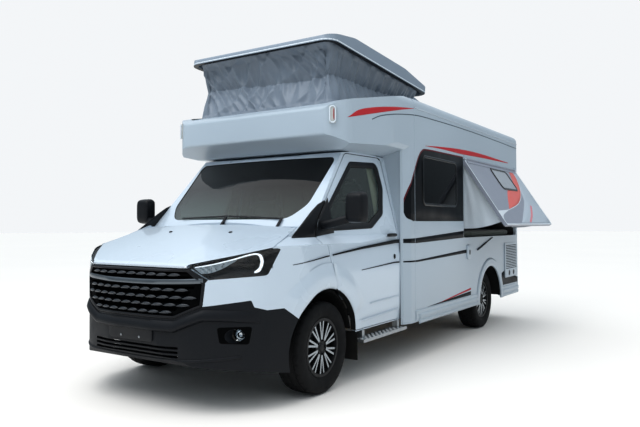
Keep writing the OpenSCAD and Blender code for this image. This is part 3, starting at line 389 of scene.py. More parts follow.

# %% [markdown]
# ## Faces that get another finish
# Some nodes carry two finishes. The wheel spokes are painted dark, then their outer faces are turned bright
# on a lathe. The cab, its doors and the box walls are lined inside, the front wheel arches have black edges
# and the lid's faces that look down are made dark, a painted shade. Faces could be picked by hand, but then
# the choice is lost when a size changes. So they are picked by where a face lies and which way it looks, as
# whole arrays.

# %% Face tools and turned wheels
def flat_arrays(part):
    """Centres of a node's faces, as x, station and height in millimetres, and their unit normals."""
    count = len(part.data.polygons)
    centre, normal = np.empty((count, 3)), np.empty((count, 3))
    part.data.polygons.foreach_get("center", centre.ravel())
    part.data.polygons.foreach_get("normal", normal.ravel())
    centre = (centre - (0, FRONT_AXLE_Y, 0)) * 1000
    return centre[:, 0], centre[:, 1], centre[:, 2], normal


def second_finish(part, surface, chosen):
    """Gives the chosen faces of a node one more finish."""
    index = np.zeros(len(part.data.polygons), np.int32)
    part.data.polygons.foreach_get("material_index", index)
    index[chosen] = len(part.data.materials)
    part.data.materials.append(surface)
    part.data.polygons.foreach_set("material_index", index)


WHEELS = {"front_left": (1, 0.0), "front_right": (-1, 0.0), "rear_left": (1, WHEELBASE),
          "rear_right": (-1, WHEELBASE)}
WHEEL_X = 875.0
for corner, (side, s) in WHEELS.items():
    x, _, _, normal = flat_arrays(nodes[f"rim_{corner}"])
    second_finish(nodes[f"rim_{corner}"], alloy_bright,
                  (normal[:, 0] * side > 0.8) & (np.abs(x * side - WHEEL_X - 90) < 4))
print("spokes turned bright on", len(WHEELS), "wheels")

# %% [markdown]
# ## Linings, arch edges and the lid's underside
# A lined face looks inward and lies inside the skin. An arch edge lies near the front axle
# and looks toward it. A separate lining would be another thin part to keep in its place, so
# these faces of the panel itself take the second finish, by tests on whole arrays.

# %% Lined and darkened faces
x, s, z, normal = flat_arrays(nodes["cab_shell"])
inward = (normal[:, 0] * x < -200) | (normal[:, 2] < -0.6) | (normal[:, 1] > 0.6)
second_finish(nodes["cab_shell"], trim_pp, inward & (s > -60) & (z > 700) & (np.abs(x) < 990))
for side, name in ((1, "cab_door_left"), (-1, "cab_door_right")):
    x, s, z, normal = flat_arrays(nodes[name])
    second_finish(nodes[name], trim_pp, normal[:, 0] * side < -0.5)
for name in ("cab_shell", "front_bumper", "cab_door_left", "cab_door_right"):
    x, s, z, normal = flat_arrays(nodes[name])
    reach = np.hypot(s, z - AXLE_Z)
    toward = (normal[:, 1] * s + normal[:, 2] * (z - AXLE_Z)) / reach
    second_finish(nodes[name], rubber, (reach < 480) & (toward < -0.5))
# The lid's faces that look down turn black: painted shade under the lid.
x, s, z, normal = flat_arrays(nodes["poptop_lid"])
second_finish(nodes["poptop_lid"], satin_abs, normal[:, 2] < -0.7)
for name in ("wall_left", "wall_right", "wall_rear", "alcove", "roof"):
    x, s, z, normal = flat_arrays(nodes[name])
    inside = (np.abs(x) < 1046) & (s > 345) & (s < 4936) & (z < 2502)
    lined = z > (600 if name.startswith("wall") else 1990)
    second_finish(nodes[name], lining,
                  inside & (normal[:, 0] * x < 1) & (normal[:, 1] * (s - 2600) < 1) & lined)
print("linings, arch edges and the lid's underside set")

# %% [markdown]
# ## Surfaces from numbers
# New pieces are grids of points worked out as whole arrays. One function numbers the
# quads of a grid, which may close on itself in either direction. One puts the points
# into a mesh, turns closed skins outward and lets the piece ride on its body. Blender's
# own shapes could be pushed about instead, but a formula keeps its meaning.

# %% Grids and pieces
def quads(n, m, close_n=False, close_m=False):
    """Corner numbers of the quads of an n by m grid; a closed way joins its last line to its first."""
    i, j = np.arange(n - (not close_n))[:, None], np.arange(m - (not close_m))[None, :]
    k, l = (i + 1) % n, (j + 1) % m
    return np.stack([i * m + j, i * m + l, k * m + l, k * m + j], -1).reshape(-1, 4)


def capped(n, m):
    """Faces of a tube of n rings of m points, with one many-sided face on each end."""
    return quads(n, m, close_m=True).tolist() + [list(range(m))[::-1], list(range((n - 1) * m, n * m))]


def piece(name, points, faces, surface, body, uv=None, outward=True):
    """A mesh object at the origin that rides on a body; uv gives each point its place on the
    cloth in metres."""
    mesh = bpy.data.meshes.new(name)
    mesh.from_pydata(np.reshape(points, (-1, 3)).tolist(), [], [list(map(int, f)) for f in faces])
    if outward:
        shell = bmesh.new()
        shell.from_mesh(mesh)
        bmesh.ops.recalc_face_normals(shell, faces=shell.faces)
        shell.to_mesh(mesh)
        shell.free()
    mesh.polygons.foreach_set("use_smooth", np.ones(len(mesh.polygons), bool))
    if uv is not None:
        corner = np.empty(len(mesh.loops), np.int32)
        mesh.loops.foreach_get("vertex_index", corner)
        layer = mesh.uv_layers.new(name="cloth")
        layer.data.foreach_set("uv", np.reshape(uv, (-1, 2))[corner].astype(np.float32).ravel())
    mesh.materials.append(surface)
    made = bpy.data.objects.new(name, mesh)
    bpy.context.scene.collection.objects.link(made)
    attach(made, body)
    return made


def crisp(made, degrees=35):
    """Keeps edges past the angle sharp on a finished piece."""
    made.modifiers.new("crisp_edges", "EDGE_SPLIT").split_angle = np.radians(degrees)
    return made


print("a ring of 4 by 3 points has", len(quads(4, 3, True)), "quads, closed both ways",
      len(quads(4, 3, True, True)))

# %% [markdown]
# ## Tyres
# A van tyre is a moulded ring: a flat tread with three grooves and staggered cross cuts,
# a rounded shoulder and a sidewall with fine rings. It could be cut with a bitmap, but
# then the outline of the tread would stay smooth. Here the radius itself falls by the
# groove depth wherever the angle and the width say so.

# %% Tyres with tread
TYRE_R, BEAD_R, GROOVE = 356.0, 213.6, 7.0
tread_w = np.array([0, 8, 10, 30, 38, 40, 58, 60, 66, 68, 84])
half_section = [(TYRE_R - 0.0006 * w * w, w) for w in tread_w] + [
    (349, 96), (340, 106), (325, 113), (306, 117), (285, 117.5), (264, 115), (246, 108), (236, 101),
    (229, 96), (226.6, 89),
    (BEAD_R, 89), (BEAD_R, 69), (232, 69), (262, 98), (300, 100), (336, 84), (340, 0)]
section = np.array(half_section[::-1] + [(r, -w) for r, w in half_section[1:-1]])
STEPS = 168
angle_no = np.arange(STEPS)[:, None]
width = section[None, :, 1]
outer = section[None, :, 0] > 344
off_centre = np.abs(width)
grooved = (off_centre < 9) | ((off_centre > 37) & (off_centre < 41)) | ((off_centre > 59) & (off_centre < 67))
stagger = np.where(off_centre > 62, 0, np.where(width > 0, 2, 4))
cut = ((angle_no + stagger) % 6 < 1) & (off_centre > 9)
sidewall = (section[None, :, 0] < 335) & (section[None, :, 0] > 250) & (off_centre > 106)
ring_mark = 0.9 * np.sin(section[None, :, 0] * 0.55) * sidewall
for corner, (side, s) in WHEELS.items():
    radius = section[None, :, 0] - outer * np.where(grooved | cut, GROOVE, 0) + ring_mark
    angle = 2 * np.pi * angle_no / STEPS
    points = place(side * WHEEL_X + width + 0 * angle, s + radius * np.cos(angle),
                   AXLE_Z + radius * np.sin(angle))
    tyre = crisp(piece(f"tread_tyre_{corner}", points, quads(STEPS, len(section), True, True), tyre_rubber,
                       f"wheel_{corner}"), 40)
    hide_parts(f"tyre_{corner}")
print("four tyres of", STEPS * len(section), "points")

# %% [markdown]
# ## Wheel centres
# Each wheel carries a plain centre cap and a ring of nuts in the pockets between the
# spokes. The cap is a turned section; the nuts are one six-sided prism repeated round
# the hub by adding the hub's angles to its points.

# %% Caps and nuts
def turned_about_x(radius, across, steps, centre):
    """A turned part: a closed section of radii and places along X, carried round the X axis
    through the centre."""
    angle = np.linspace(0, 2 * np.pi, steps, endpoint=False)[:, None]
    radius, across = np.asarray(radius, float)[None], np.asarray(across, float)[None]
    return place(centre[0] + across + 0 * angle, centre[1] + radius * np.cos(angle),
                 centre[2] + radius * np.sin(angle))


hexagon = np.arange(6) * np.pi / 3
for corner, (side, s) in WHEELS.items():
    centre = (side * (WHEEL_X + 82), s, AXLE_Z)
    cap = turned_about_x([1, 22, 31, 34, 34, 1], side * np.array([9, 8, 5, 1, 0.3, 0.3]), 40, centre)
    faces = quads(40, 6, True, True).tolist()
    hub = np.arange(5) * 2 * np.pi / 5
    nut = np.stack([np.repeat([0.3, 14.0], 6) * side, np.tile(9 * np.cos(hexagon), 2),
                    np.tile(9 * np.sin(hexagon), 2)], -1)
    nuts = place(centre[0] + nut[None, :, 0], s + 54 * np.cos(hub)[:, None] + nut[None, :, 1],
                 AXLE_Z + 54 * np.sin(hub)[:, None] + nut[None, :, 2])
    for k in range(5):
        faces += [[240 + 12 * k + v for v in f] for f in capped(2, 6)]
    crisp(piece(f"wheel_cap_{corner}", np.concatenate([cap.reshape(-1, 3), nuts.reshape(-1, 3)]),
                faces, alloy_dark, f"wheel_{corner}"))
print("caps and nuts on four wheels")

# %% [markdown]
# ## Outlines with rounded corners
# Panes, lamps, lid and canvas all have outlines with rounded corners. Bevelled curves could
# draw them, but their points would then have to be read back. So an outline is a list of
# corners with a radius each, by the same rule as in the construction source, and it is cut
# into equal lengths where a surface starts from it.

# %% Outlines
def rounded(corners, n=5):
    """A closed outline from corners (u, v, radius): each corner becomes an arc of n steps that
    touches both sides."""
    pts = np.array(corners, float)
    out = []
    for before, here, after in zip(np.roll(pts, 1, 0), pts, np.roll(pts, -1, 0)):
        a, b = (before - here)[:2], (after - here)[:2]
        a, b = a / np.hypot(*a), b / np.hypot(*b)
        if here[2] <= 0 or abs(a[0] * b[1] - a[1] * b[0]) < 0.01:
            out.append(here[None, :2])
            continue
        half = np.arccos(a @ b) / 2
        middle = here[:2] + (a + b) / np.hypot(*(a + b)) * here[2] / np.sin(half)
        start, end = (here[:2] + way * here[2] / np.tan(half) - middle for way in (a, b))
        first = np.arctan2(start[1], start[0])
        sweep = (np.arctan2(end[1], end[0]) - first + 3 * np.pi) % (2 * np.pi) - np.pi
        angle = first + sweep * np.linspace(0, 1, n + 1)
        out.append(middle + here[2] * np.stack([np.cos(angle), np.sin(angle)], -1))
    return np.concatenate(out)


def box_outline(u0, u1, v0, v1, r, n=6):
    """A rounded rectangle, anticlockwise."""
    return rounded([(u0, v0, r), (u1, v0, r), (u1, v1, r), (u0, v1, r)], n)


def evenly(path, count, closed=True):
    """The path cut into equal lengths."""
    path = np.concatenate([path, path[:1]]) if closed else np.asarray(path, float)
    run = np.concatenate([[0], np.cumsum(np.linalg.norm(np.diff(path, axis=0), axis=1))])
    at = np.linspace(0, run[-1], count, endpoint=not closed)
    return np.stack([np.interp(at, run, path[:, k]) for k in range(path.shape[1])], -1)


print("a rounded square has", len(box_outline(0, 1, 0, 1, 0.1)), "points")

# %% [markdown]
# ## The lid's swing
# The roof lid turns on a hinge at its rear and is shown raised. What follows its edge could
# be measured on the raised lid. It is simpler to work it out on the closed lid, where the
# edge is one straight line, and to swing it up by the lid's own angle.

# %% Lid edge and its swing
LID_HINGE = (3400.0, 2600.0)
LID_OPEN = np.radians(10.5)
LID_FRONT, LID_FRONT_Z, LID_SLOPE = 380, 2320, 240 / 2040


def lid_line(s):
    """Height of the closed lid's lower edge: a straight line that climbs from its front end."""
    return LID_FRONT_Z + (s - LID_FRONT) * LID_SLOPE


def raised(s, z):
    """The closed lid's points swung up about its rear hinge."""
    ds, dz = s - LID_HINGE[0], z - LID_HINGE[1]
    return (LID_HINGE[0] + ds * np.cos(LID_OPEN) + dz * np.sin(LID_OPEN),
            LID_HINGE[1] - ds * np.sin(LID_OPEN) + dz * np.cos(LID_OPEN))


print("the lid's front edge rises to", np.round(raised(LID_FRONT, LID_FRONT_Z)[1]), "mm")

# %% [markdown]
# ## Raised roof canvas
# Under the lid stands one continuous band of coated canvas. It is gathered by an elastic that runs round at
# mid height, so the roof can fall without trapping cloth, and across the front it is drawn into long slanted
# creases. A cloth simulation of three square metres of pleats would take minutes and hang differently each
# time the lid height changes, so the band is worked out: a ring, ruled up from the coaming to the lid, then
# pushed in and out by the elastic, by pleats whose depth fades from it, and by the slanted pulls.

# %% Raised roof canvas
def crease(a):
    """A sharp ridge every half turn: one less twice the size of the sine, to the power 0.8."""
    return 1 - 2 * np.abs(np.sin(a)) ** 0.8


AROUND, UPWARD = 840, 60
ring = evenly(box_outline(-765, 765, 445, 2332, 90), AROUND)
ahead = np.roll(ring, -1, 0) - np.roll(ring, 1, 0)
out = np.stack([ahead[:, 1], -ahead[:, 0]], -1) / np.linalg.norm(ahead, axis=1, keepdims=True)
run = np.linspace(0, 2 * (1530 + 1887), AROUND, endpoint=False)[:, None]  # round the ring, in mm
v = np.linspace(0, 1, UPWARD)[None, :]
rim_s, rim_z = raised(np.array([300.0, 2500.0]), lid_line(np.array([300.0, 2500.0])) + 16)
foot = lid_line(ring[:, 1])[:, None] + 1
head = np.interp(ring[:, 1], rim_s, rim_z)[:, None]
front = np.clip(-out[:, 1], 0, 1)[:, None] ** 2
hold = np.minimum(1, np.minimum(v, 1 - v) / 0.10)
belt = 0.50 + 0.03 * np.sin(run / 240)
away = np.abs(v - belt)
pinch = -74 * np.clip(1 - away / 0.5, 0, 1) ** 1.25
gather = np.exp(-away / 0.2)
slow = np.sin(run / 21 + 2.2 * np.sin(run / 330 + 1) + 3 * (v - belt))
pleat = np.sin(run / 13 + 1.3 * np.sin(run / 160)) + 0.7 * slow
x = ring[:, :1]
pulls = (crease(x / 150 + 3.1 * v + 0.8 * np.sin(x / 190 + 3 * v)) * 0.55
         + crease(x / 88 - 5.5 * v + 0.9 * np.sin(x / 120 + 1)) * 0.45
         + 0.35 * crease(x / 41 + 9 * v + 1.5 * np.sin(5 * v + x / 230)))
loose = np.sin(run / 46 + 2.5 * v) * 0.6 + np.sin(run / 27 - 4 * v + 1) * 0.4
sides = (1 - 0.45 * front) * (11 * pleat * gather + 15 * loose * np.clip(away / 0.2, 0, 1))
depth = hold * (pinch + sides + front * 30 * (pulls - 0.5))
depth = depth - 0.9 * np.maximum(depth - 9, 0)
points = place(ring[:, :1] + out[:, :1] * depth, ring[:, 1:] + out[:, 1:] * depth, foot + (head - foot) * v)
tent = piece("raised_roof_canvas", points, quads(AROUND, UPWARD, True), canvas, "body",
             np.stack(np.broadcast_arrays(run / 1000, (head - foot) * v / 1000), -1))
print("canvas band of", AROUND * UPWARD, "points")

# %% [markdown]
# ## Lid edge and painted shade on the cloth
# A pale moulding covers the lid's lower edge. It is a round bar carried along the lid's outline and swung up
# with it; a bevel on the lid couldn't have another finish. The canvas above the elastic leans outward and
# looks down, so it appears darker than the rest. Soft studio light alone shows too little of that, so this
# half gets a darker copy of the cloth: painted shade.

# %% Lid edge, painted shade on the cloth and the canvas's facts
def tube(path, radius, n=10):
    """A round bar along a path of points: at each point a circle across the path's own direction."""
    path = np.asarray(path, float)
    along = np.gradient(path, axis=0)
    along /= np.linalg.norm(along, axis=1, keepdims=True)
    across = np.cross(along, np.where(np.abs(along[:, 2:]) < 0.9, (0, 0, 1), (1, 0, 0)))
    across /= np.linalg.norm(across, axis=1, keepdims=True)
    angle = np.linspace(0, 2 * np.pi, n, endpoint=False)[None, :, None]
    ring = across[:, None] * np.cos(angle) + np.cross(along, across)[:, None] * np.sin(angle)
    return path[:, None] + ring * np.reshape(radius, (-1, 1, 1))


lid_ring = evenly(box_outline(-825.5, 825.5, 384.5, 2415.5, 115.5, 8), 200)
bead_s, bead_z = raised(lid_ring[:, 1], lid_line(lid_ring[:, 1]) + 12)
bead_path = place(lid_ring[:, 0], bead_s, bead_z)
piece("lid_edge_bead", tube(bead_path, 0.0065, 10), quads(200, 10, True, True), edge_white, "poptop")
# Faces above the elastic take the darker copy of the canvas: painted shade.
higher = (v[:, :-1] + v[:, 1:]) / 2 > belt
tent.data.materials.append(canvas_painted_shade)
tent.data.polygons.foreach_set("material_index", higher.ravel().astype(np.int32))


def skin_area(made):
    """Area of a mesh in square metres."""
    area = np.empty(len(made.data.polygons), np.float32)
    made.data.polygons.foreach_get("area", area)
    return float(area.sum())


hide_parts("tent")
tent_area = skin_area(tent)
place(0, 440, lid_line(440))
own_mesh(tent)

# %% [markdown]
# ## Canvas cheeks of the side hatch
# The hatch swings out from its top edge and two triangular canvas cheeks close its ends.
# Each is a ruled sheet from the opening's edge to the panel, with soft folds that fan out
# from the hinge, where the cloth is narrow, and hang deepest near the free lower edge.
# Simulated cloth, pinned on both edges, would look much the same and take longer.

# %% Hatch cheeks
HATCH_AXIS = (1090.5, 2050.0)
HATCH_OPEN = np.radians(33)


def swung(x, z):
    """The closed hatch's points swung outward about its top hinge."""
    dx, dz = x - HATCH_AXIS[0], z - HATCH_AXIS[1]
    return (HATCH_AXIS[0] + dx * np.cos(HATCH_OPEN) - dz * np.sin(HATCH_OPEN),
            HATCH_AXIS[1] + dx * np.sin(HATCH_OPEN) + dz * np.cos(HATCH_OPEN))


u, v = np.linspace(0, 1, 40)[:, None], np.linspace(0, 1, 60)[None, :]
for name, s, way in (("front", 2872.0, -1), ("rear", 4858.0, 1)):
    wall_x, wall_z = 1037 + 0 * v, 1252 + 770 * v
    edge_x, edge_z = swung(1039 + 0 * v, 1225 + 800 * v)
    free = 1 - v
    waves = 16 * np.sin(7.5 * u + 2.2 * v + 0.6) * free + 6 * np.sin(17 * u - 3 * v) * free
    fold = way * np.sin(np.pi * u) * waves
    belly = way * 14 * np.sin(np.pi * u) * np.sin(np.pi * np.clip(v * 1.2, 0, 1))
    sag = -26 * np.sin(np.pi * u) * free ** 4
    points = place(wall_x + (edge_x - wall_x) * u, s - fold - belly, wall_z + (edge_z - wall_z) * u + sag)
    cheek = piece(f"hatch_cheek_{name}", points, quads(40, 60), canvas_pale, "body",
                  np.stack(np.broadcast_arrays(u * 0.45, v * 0.8), -1), outward=False)
    if name == "front":
        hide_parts("hatch_cheeks")
    skin_area(cheek)
    place(1031, s, 1500)
    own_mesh(cheek)
    print("cheek", name, round(skin_area(cheek), 3), "square metres")

# %% [markdown]
# ## Half widths of the panels
# Stripes, seals and trim lie a little proud of the side panels. A Shrinkwrap could lay them
# there, but it fails where a line crosses a gap. So each panel's half width is a formula:
# the box is flat, the alcove and the corner follow rounded plans, and the cab follows its
# plan curve, cut by a flank that leans in above the belt and draws in toward the nose.

# %% Half widths of the panels
CAB_HALF, BELT_Z, CAB_ROOF_Z, FLANK_TAPER, NOSE = 1025.0, 1215.0, 1950.0, np.radians(4.6), 1050.0
plan = rounded([(0, -NOSE, 0), (220, -NOSE, 900), (580, 75 - NOSE, 450), (880, -690, 500),
                (CAB_HALF, -330, 700), (CAB_HALF, 1500, 0), (0, 1500, 0)])[:-1]
alcove_plan = rounded([(0, 300, 0), (830, 300, 120), (965, 430, 200), (BOX_HALF, 1050, 900),
                       (BOX_HALF, 1500, 0), (0, 1500, 0)])[:-1]
corner_plan = rounded([(1026, 1275, 0), (1045, 1290, 0), (BOX_HALF, 1400, 60), (BOX_HALF, 1500, 0),
                       (1026, 1500, 0)])[:-1]


def cab_side(s, z):
    """Half width of the cab: its plan curve, or the flank that leans in above the belt and
    tapers, if that is less."""
    lean = np.interp(z, [BELT_Z - 66, BELT_Z - 65, BELT_Z, CAB_ROOF_Z - 15], [400.0, 45.0, -20.0, -175.0])
    along = s - 1300 + lean * np.sin(FLANK_TAPER)
    flank = CAB_HALF + lean * np.cos(FLANK_TAPER) + along * np.tan(FLANK_TAPER)
    return np.minimum(np.interp(s, plan[:, 1], plan[:, 0]), flank)


def box_side(s, z):
    """Half width of the box: the same at every station and height."""
    return BOX_HALF + 0 * s


def alcove_side(s, z):
    """Half width of the alcove: its plan curve, the same at every height."""
    return np.interp(s, alcove_plan[:, 1], alcove_plan[:, 0])


def corner_side(s, z):
    """Half width of the corner behind the cab: its plan curve, the same at every height."""
    return np.interp(s, corner_plan[:, 1], corner_plan[:, 0])


print("half width at station 1200: cab", np.round(cab_side(1200.0, 1000.0)), "alcove",
      np.round(alcove_side(1200.0, 2200.0)))

# %% [markdown]
# ## Lines of the graphics
# The stripes and sweeps are cut vinyl; the thin grey-blue line high on the sides is a painted shadow along a
# crease of the moulding, laid like the film. Each is drawn in side view by an upper and a lower line, a few
# marks of station and height in millimetres. A Bezier curve could join the marks; a cubic through them does
# it as one array and needs no handles.

# %% Lines of the graphics
def bend(points, n=40):
    """A smooth line through a few points: between two of them a cubic that keeps the slopes at both."""
    points = np.array(points, float)
    at = np.linspace(0, len(points) - 1, n)
    i = np.clip(at.astype(int), 0, len(points) - 2)
    f = (at - i)[:, None]
    slope = np.gradient(points, axis=0)
    a, b = points[i], points[i + 1]
    return ((2 * f ** 3 - 3 * f ** 2 + 1) * a + (f ** 3 - 2 * f ** 2 + f) * slope[i]
            + (3 * f ** 2 - 2 * f ** 3) * b + (f ** 3 - f ** 2) * slope[i + 1])


sweep_top = bend([(430, 2203), (556, 2277), (761, 2327), (1037, 2368), (1489, 2422)], 50)
sweep_low = bend([(430, 2201), (624, 2243), (843, 2291), (1185, 2362), (1489, 2420)], 50)
stripe_top = [(-441, 1014), (-46, 1062), (531, 1117), (1182, 1165), (1515, 1170), (2815, 1227)]
stripe_low = [(-441, 1010), (-46, 1052), (531, 1096), (1181, 1131), (1515, 1122), (2815, 1150)]
thin_top = [(529, 924), (1152, 960), (1541, 958), (2938, 1013)]
thin_low = [(529, 919), (1152, 949), (1541, 940), (2938, 974)]
# The high line is a painted shadow along a crease of the moulding.
high_line = bend([(735, 2224), (880, 2275), (1172, 2324), (1565, 2366), (2070, 2381), (2728, 2390),
                  (3553, 2391), (4970, 2376)], 120)
brow_top = bend([(1742, 2085), (2133, 2114), (2722, 2145), (3405, 2157), (4560, 2138)], 60)
brow_low = bend([(1742, 2083), (2202, 2094), (2801, 2095), (3497, 2112), (4560, 2130)], 60)
wedges = {"red": ([(2033, 487), (3060, 566)], [(2033, 483), (3060, 543)]),
          "dark": ([(1774, 483), (3060, 526)], [(1774, 482), (3060, 482)])}
tail_top = [(4075, 626), (4378, 690), (4960, 556)]
print("high line from station", high_line[0, 0], "to", high_line[-1, 0])

# %% [markdown]
# ## Strips on the panels
# A strip is ruled between its two lines, bent to the panel's half width and given the
# thickness of a film by Solidify. A picture on the panel would do for the colour, but it
# would be as coarse as its pixels. Strips on the doors ride with the doors, so a stripe is
# cut at each gap. On the right the strips of the box start behind the entry door.

# %% Strips on the panels
def on_side(name, upper, lower, surface, body, side, panel, span=None, n=60, m=5, lift=0.9, film=0.5):
    """A strip ruled from the lower to the upper line in side view, laid on the panel's half width."""
    upper, lower = np.array(upper, float), np.array(lower, float)
    s = np.linspace(*(span or (upper[0, 0], upper[-1, 0])), n)[:, None]
    top, low = (np.interp(s, line[:, 0], line[:, 1]) for line in (upper, lower))
    z = low + (top - low) * np.linspace(0, 1, m)[None]
    points = place(side * (panel(s + 0 * z, z) + lift), s + 0 * z, z)
    made = piece(name, points, quads(n, m)[:, ::side], surface, body, outward=False)
    skin = made.modifiers.new("film", "SOLIDIFY")
    skin.thickness, skin.offset = film / 1000, -1
    return made


for side, tag in SIDES:
    door, box_start = f"door_{tag}", 1493 if side > 0 else 2262
    on_side(f"sweep_{tag}", sweep_top, sweep_low, vinyl["red"], "body", side, alcove_side, (430, 1489), 80)
    on_side(f"crease_shadow_alcove_{tag}", high_line, high_line - (0, 9), vinyl["painted_crease_shadow"], "body", side, alcove_side,
            (735, 1489), 60, 2)
    on_side(f"crease_shadow_box_{tag}", high_line, high_line - (0, 9), vinyl["painted_crease_shadow"], "body", side, box_side,
            (box_start, 4968), 60, 2)
    on_side(f"stripe_wing_{tag}", stripe_top, stripe_low, vinyl["dark"], "body", side, cab_side,
            (-420, 18), 40, 2)
    on_side(f"stripe_door_{tag}", stripe_top, stripe_low, vinyl["dark"], door, side, cab_side,
            (64, 1257), 60, 3)
    on_side(f"thin_stripe_door_{tag}", thin_top, thin_low, vinyl["dark"], door, side, cab_side,
            (529, 1257), 40, 2)
    for name, top, low in (("stripe", stripe_top, stripe_low), ("thin_stripe", thin_top, thin_low)):
        on_side(f"{name}_corner_{tag}", top, low, vinyl["dark"], "body", side, corner_side,
                (1294, 1489), 30, 3)
        on_side(f"{name}_box_{tag}", top, low, vinyl["dark"], "body", side, box_side,
                (box_start, top[-1][0]), 60, 3)
    on_side(f"brow_{tag}", brow_top, brow_low, vinyl["red"], "body", side, box_side,
            (max(box_start, 1742), 4560), 80)
    for colour, (top, low) in wedges.items():
        on_side(f"wedge_{colour}_{tag}", top, low, vinyl[colour], "body", side, box_side,
                (max(box_start, top[0][0]), 3040), 30, 3)
    on_side(f"tail_patch_{tag}", tail_top, [(4075, 497), (4960, 492)], vinyl["dark"], "body", side, box_side,
            (4230, 4960), 30, 4)
    for name, line in (("high", [(678, 634), (1255, 648)]), ("low", [(533, 503), (1239, 529)])):
        on_side(f"door_crease_{name}_{tag}", line, np.array(line) - (0, 9), enamel_white, door, side,
                cab_side, None, 30, 2, 3.5, 3.4)
print("graphics laid on both sides")

# %% [markdown]
# ## Window graphic
# Round the side window lies a black field with a slanted, rounded front edge and a thin
# dark-red border. The field crosses from the corner cheek to the box wall, so it is two
# strips: its upper line climbs the slant, then runs level to the hatch.

# %% Window graphic
slant = bend([(1299, 1420), (1303, 1500), (1360, 1610), (1438, 1727), (1540, 1884), (1598, 1962),
              (1672, 2018), (1780, 2042), (2300, 2050), (2812, 2055)], 120)
sill = bend([(1299, 1420), (1340, 1366), (1420, 1342), (1518, 1334), (2200, 1335), (2812, 1337)], 60)
border = slant + (-13.0, 13.0)
for part, panel, span in (("corner", corner_side, (1303, 1489)), ("box", box_side, (1493, 2812))):
    on_side(f"window_field_{part}", slant, sill, vinyl["dark"], "body", 1, panel, span, 80, 6, 0.7)
    on_side(f"window_border_{part}", border, slant, vinyl["maroon"], "body", 1, panel, span, 80, 2, 0.7)
print("window field between stations 1303 and 2812")

# %% [markdown]
# ## Window frames
# Each pane sits in a moulded frame with a raised bead. A bevelled curve would give a plain
# round bar, so a profile is carried round the pane's outline instead. For the hatch the
# finished ring is swung with the panel.

# %% Window frames
def framed(path, profile):
    """Carries a profile round a closed outline: its first measure runs outward in the plane,
    its second stands on it."""
    ahead = np.roll(path, -1, 0) - np.roll(path, 1, 0)
    out = np.stack([ahead[:, 1], -ahead[:, 0]], -1) / np.linalg.norm(ahead, axis=1, keepdims=True)
    profile = np.array(profile, float)
    flat = path[:, None] + out[:, None] * profile[None, :, :1]
    return flat[..., 0], flat[..., 1], np.broadcast_to(profile[:, 1], flat.shape[:2])


bead = [(-14, 0), (-14, 7), (-8, 10), (6, 10), (14, 6), (16, 0.3)]


def pane_frame(name, outline, to_points, surface, body, profile=bead):
    """The profile carried round an outline; to_points turns the plane's measures into metres."""
    a, b, h = framed(outline, profile)
    return piece(name, to_points(a, b, h), quads(len(outline), len(profile), True, True), surface, body)


left_pane, right_pane = box_outline(1680, 2590, 1500, 1975, 60), box_outline(2700, 4100, 1500, 1975, 60)
hatch_pane, rear_pane = box_outline(3658, 4298, 1685, 1985, 60), box_outline(-450, 450, 1500, 1915, 60)
entry_pane = box_outline(1730, 2110, 1560, 2060, 50)
# Each frame stands h off its own wall: left, right, rear, and the entry door on the right.
pane_frame("pane_frame_left", left_pane, lambda s, z, h: place(BOX_HALF + h, s, z), gloss_abs, "body")
pane_frame("pane_frame_right", right_pane, lambda s, z, h: place(-BOX_HALF - h, s, z), satin_abs, "body")
pane_frame("pane_frame_rear", rear_pane, lambda x, z, h: place(x, 4970 + h, z), satin_abs, "body")
pane_frame("pane_frame_entry", entry_pane, lambda s, z, h: place(-BOX_HALF - h, s, z), satin_abs, "entry",
           [(-12, 0.3), (-12, 4), (-6, 6), (6, 6), (12, 3), (13, 0.3)])


def on_hatch(s, z, h):
    """Points of the hatch's outer face, h off it, where the hatch stands open."""
    x, z = swung(BOX_HALF + h, z)
    return place(x, s, z)


pane_frame("pane_frame_hatch", hatch_pane, on_hatch, gloss_abs, "hatch")
pane_frame("hatch_edge_trim", box_outline(2836, 4894, 1162, 2030, 22), on_hatch, edge_white, "hatch",
           [(-10, 0.3), (-9, 3), (4, 3), (6, 0.3)])
entry_glass = evenly(entry_pane, 64)
shrink = np.linspace(0, 1, 6)[:, None, None]
flat = entry_glass.mean(0) + (entry_glass - entry_glass.mean(0))[None] * (1 - 0.9 * shrink)
middle = np.concatenate([flat.reshape(-1, 2), flat[-1:].mean(1)])
entry_faces = quads(6, 64, close_m=True).tolist() + [[320 + k, 320 + (k + 1) % 64, 384] for k in range(64)]
piece("entry_pane", place(-BOX_HALF + 4.5, middle[:, 0], middle[:, 1]), entry_faces, smoked_acrylic,
      "entry", outward=False)
print("frames round five panes and the hatch's edge")

# %% [markdown]
# ## Hatch graphics
# The same vinyl runs over the hatch: a salmon band that curls round the window, a pale
# field below it and a thin pink bar. They are strips between two curved lines in the
# closed panel's plane, swung with it.

# %% Hatch graphics
def on_panel(name, first, second, surface, lift=0.9, n=60, m=6):
    """A ruled strip between two smooth lines on the open hatch."""
    a, b = bend(first, n)[:, None], bend(second, n)[:, None]
    flat = a + (b - a) * np.linspace(0, 1, m)[None, :, None]
    made = piece(name, on_hatch(flat[..., 0], flat[..., 1], lift), quads(n, m), surface,
                 "hatch", outward=False)
    film = made.modifiers.new("film", "SOLIDIFY")
    film.thickness = 0.0004
    return made


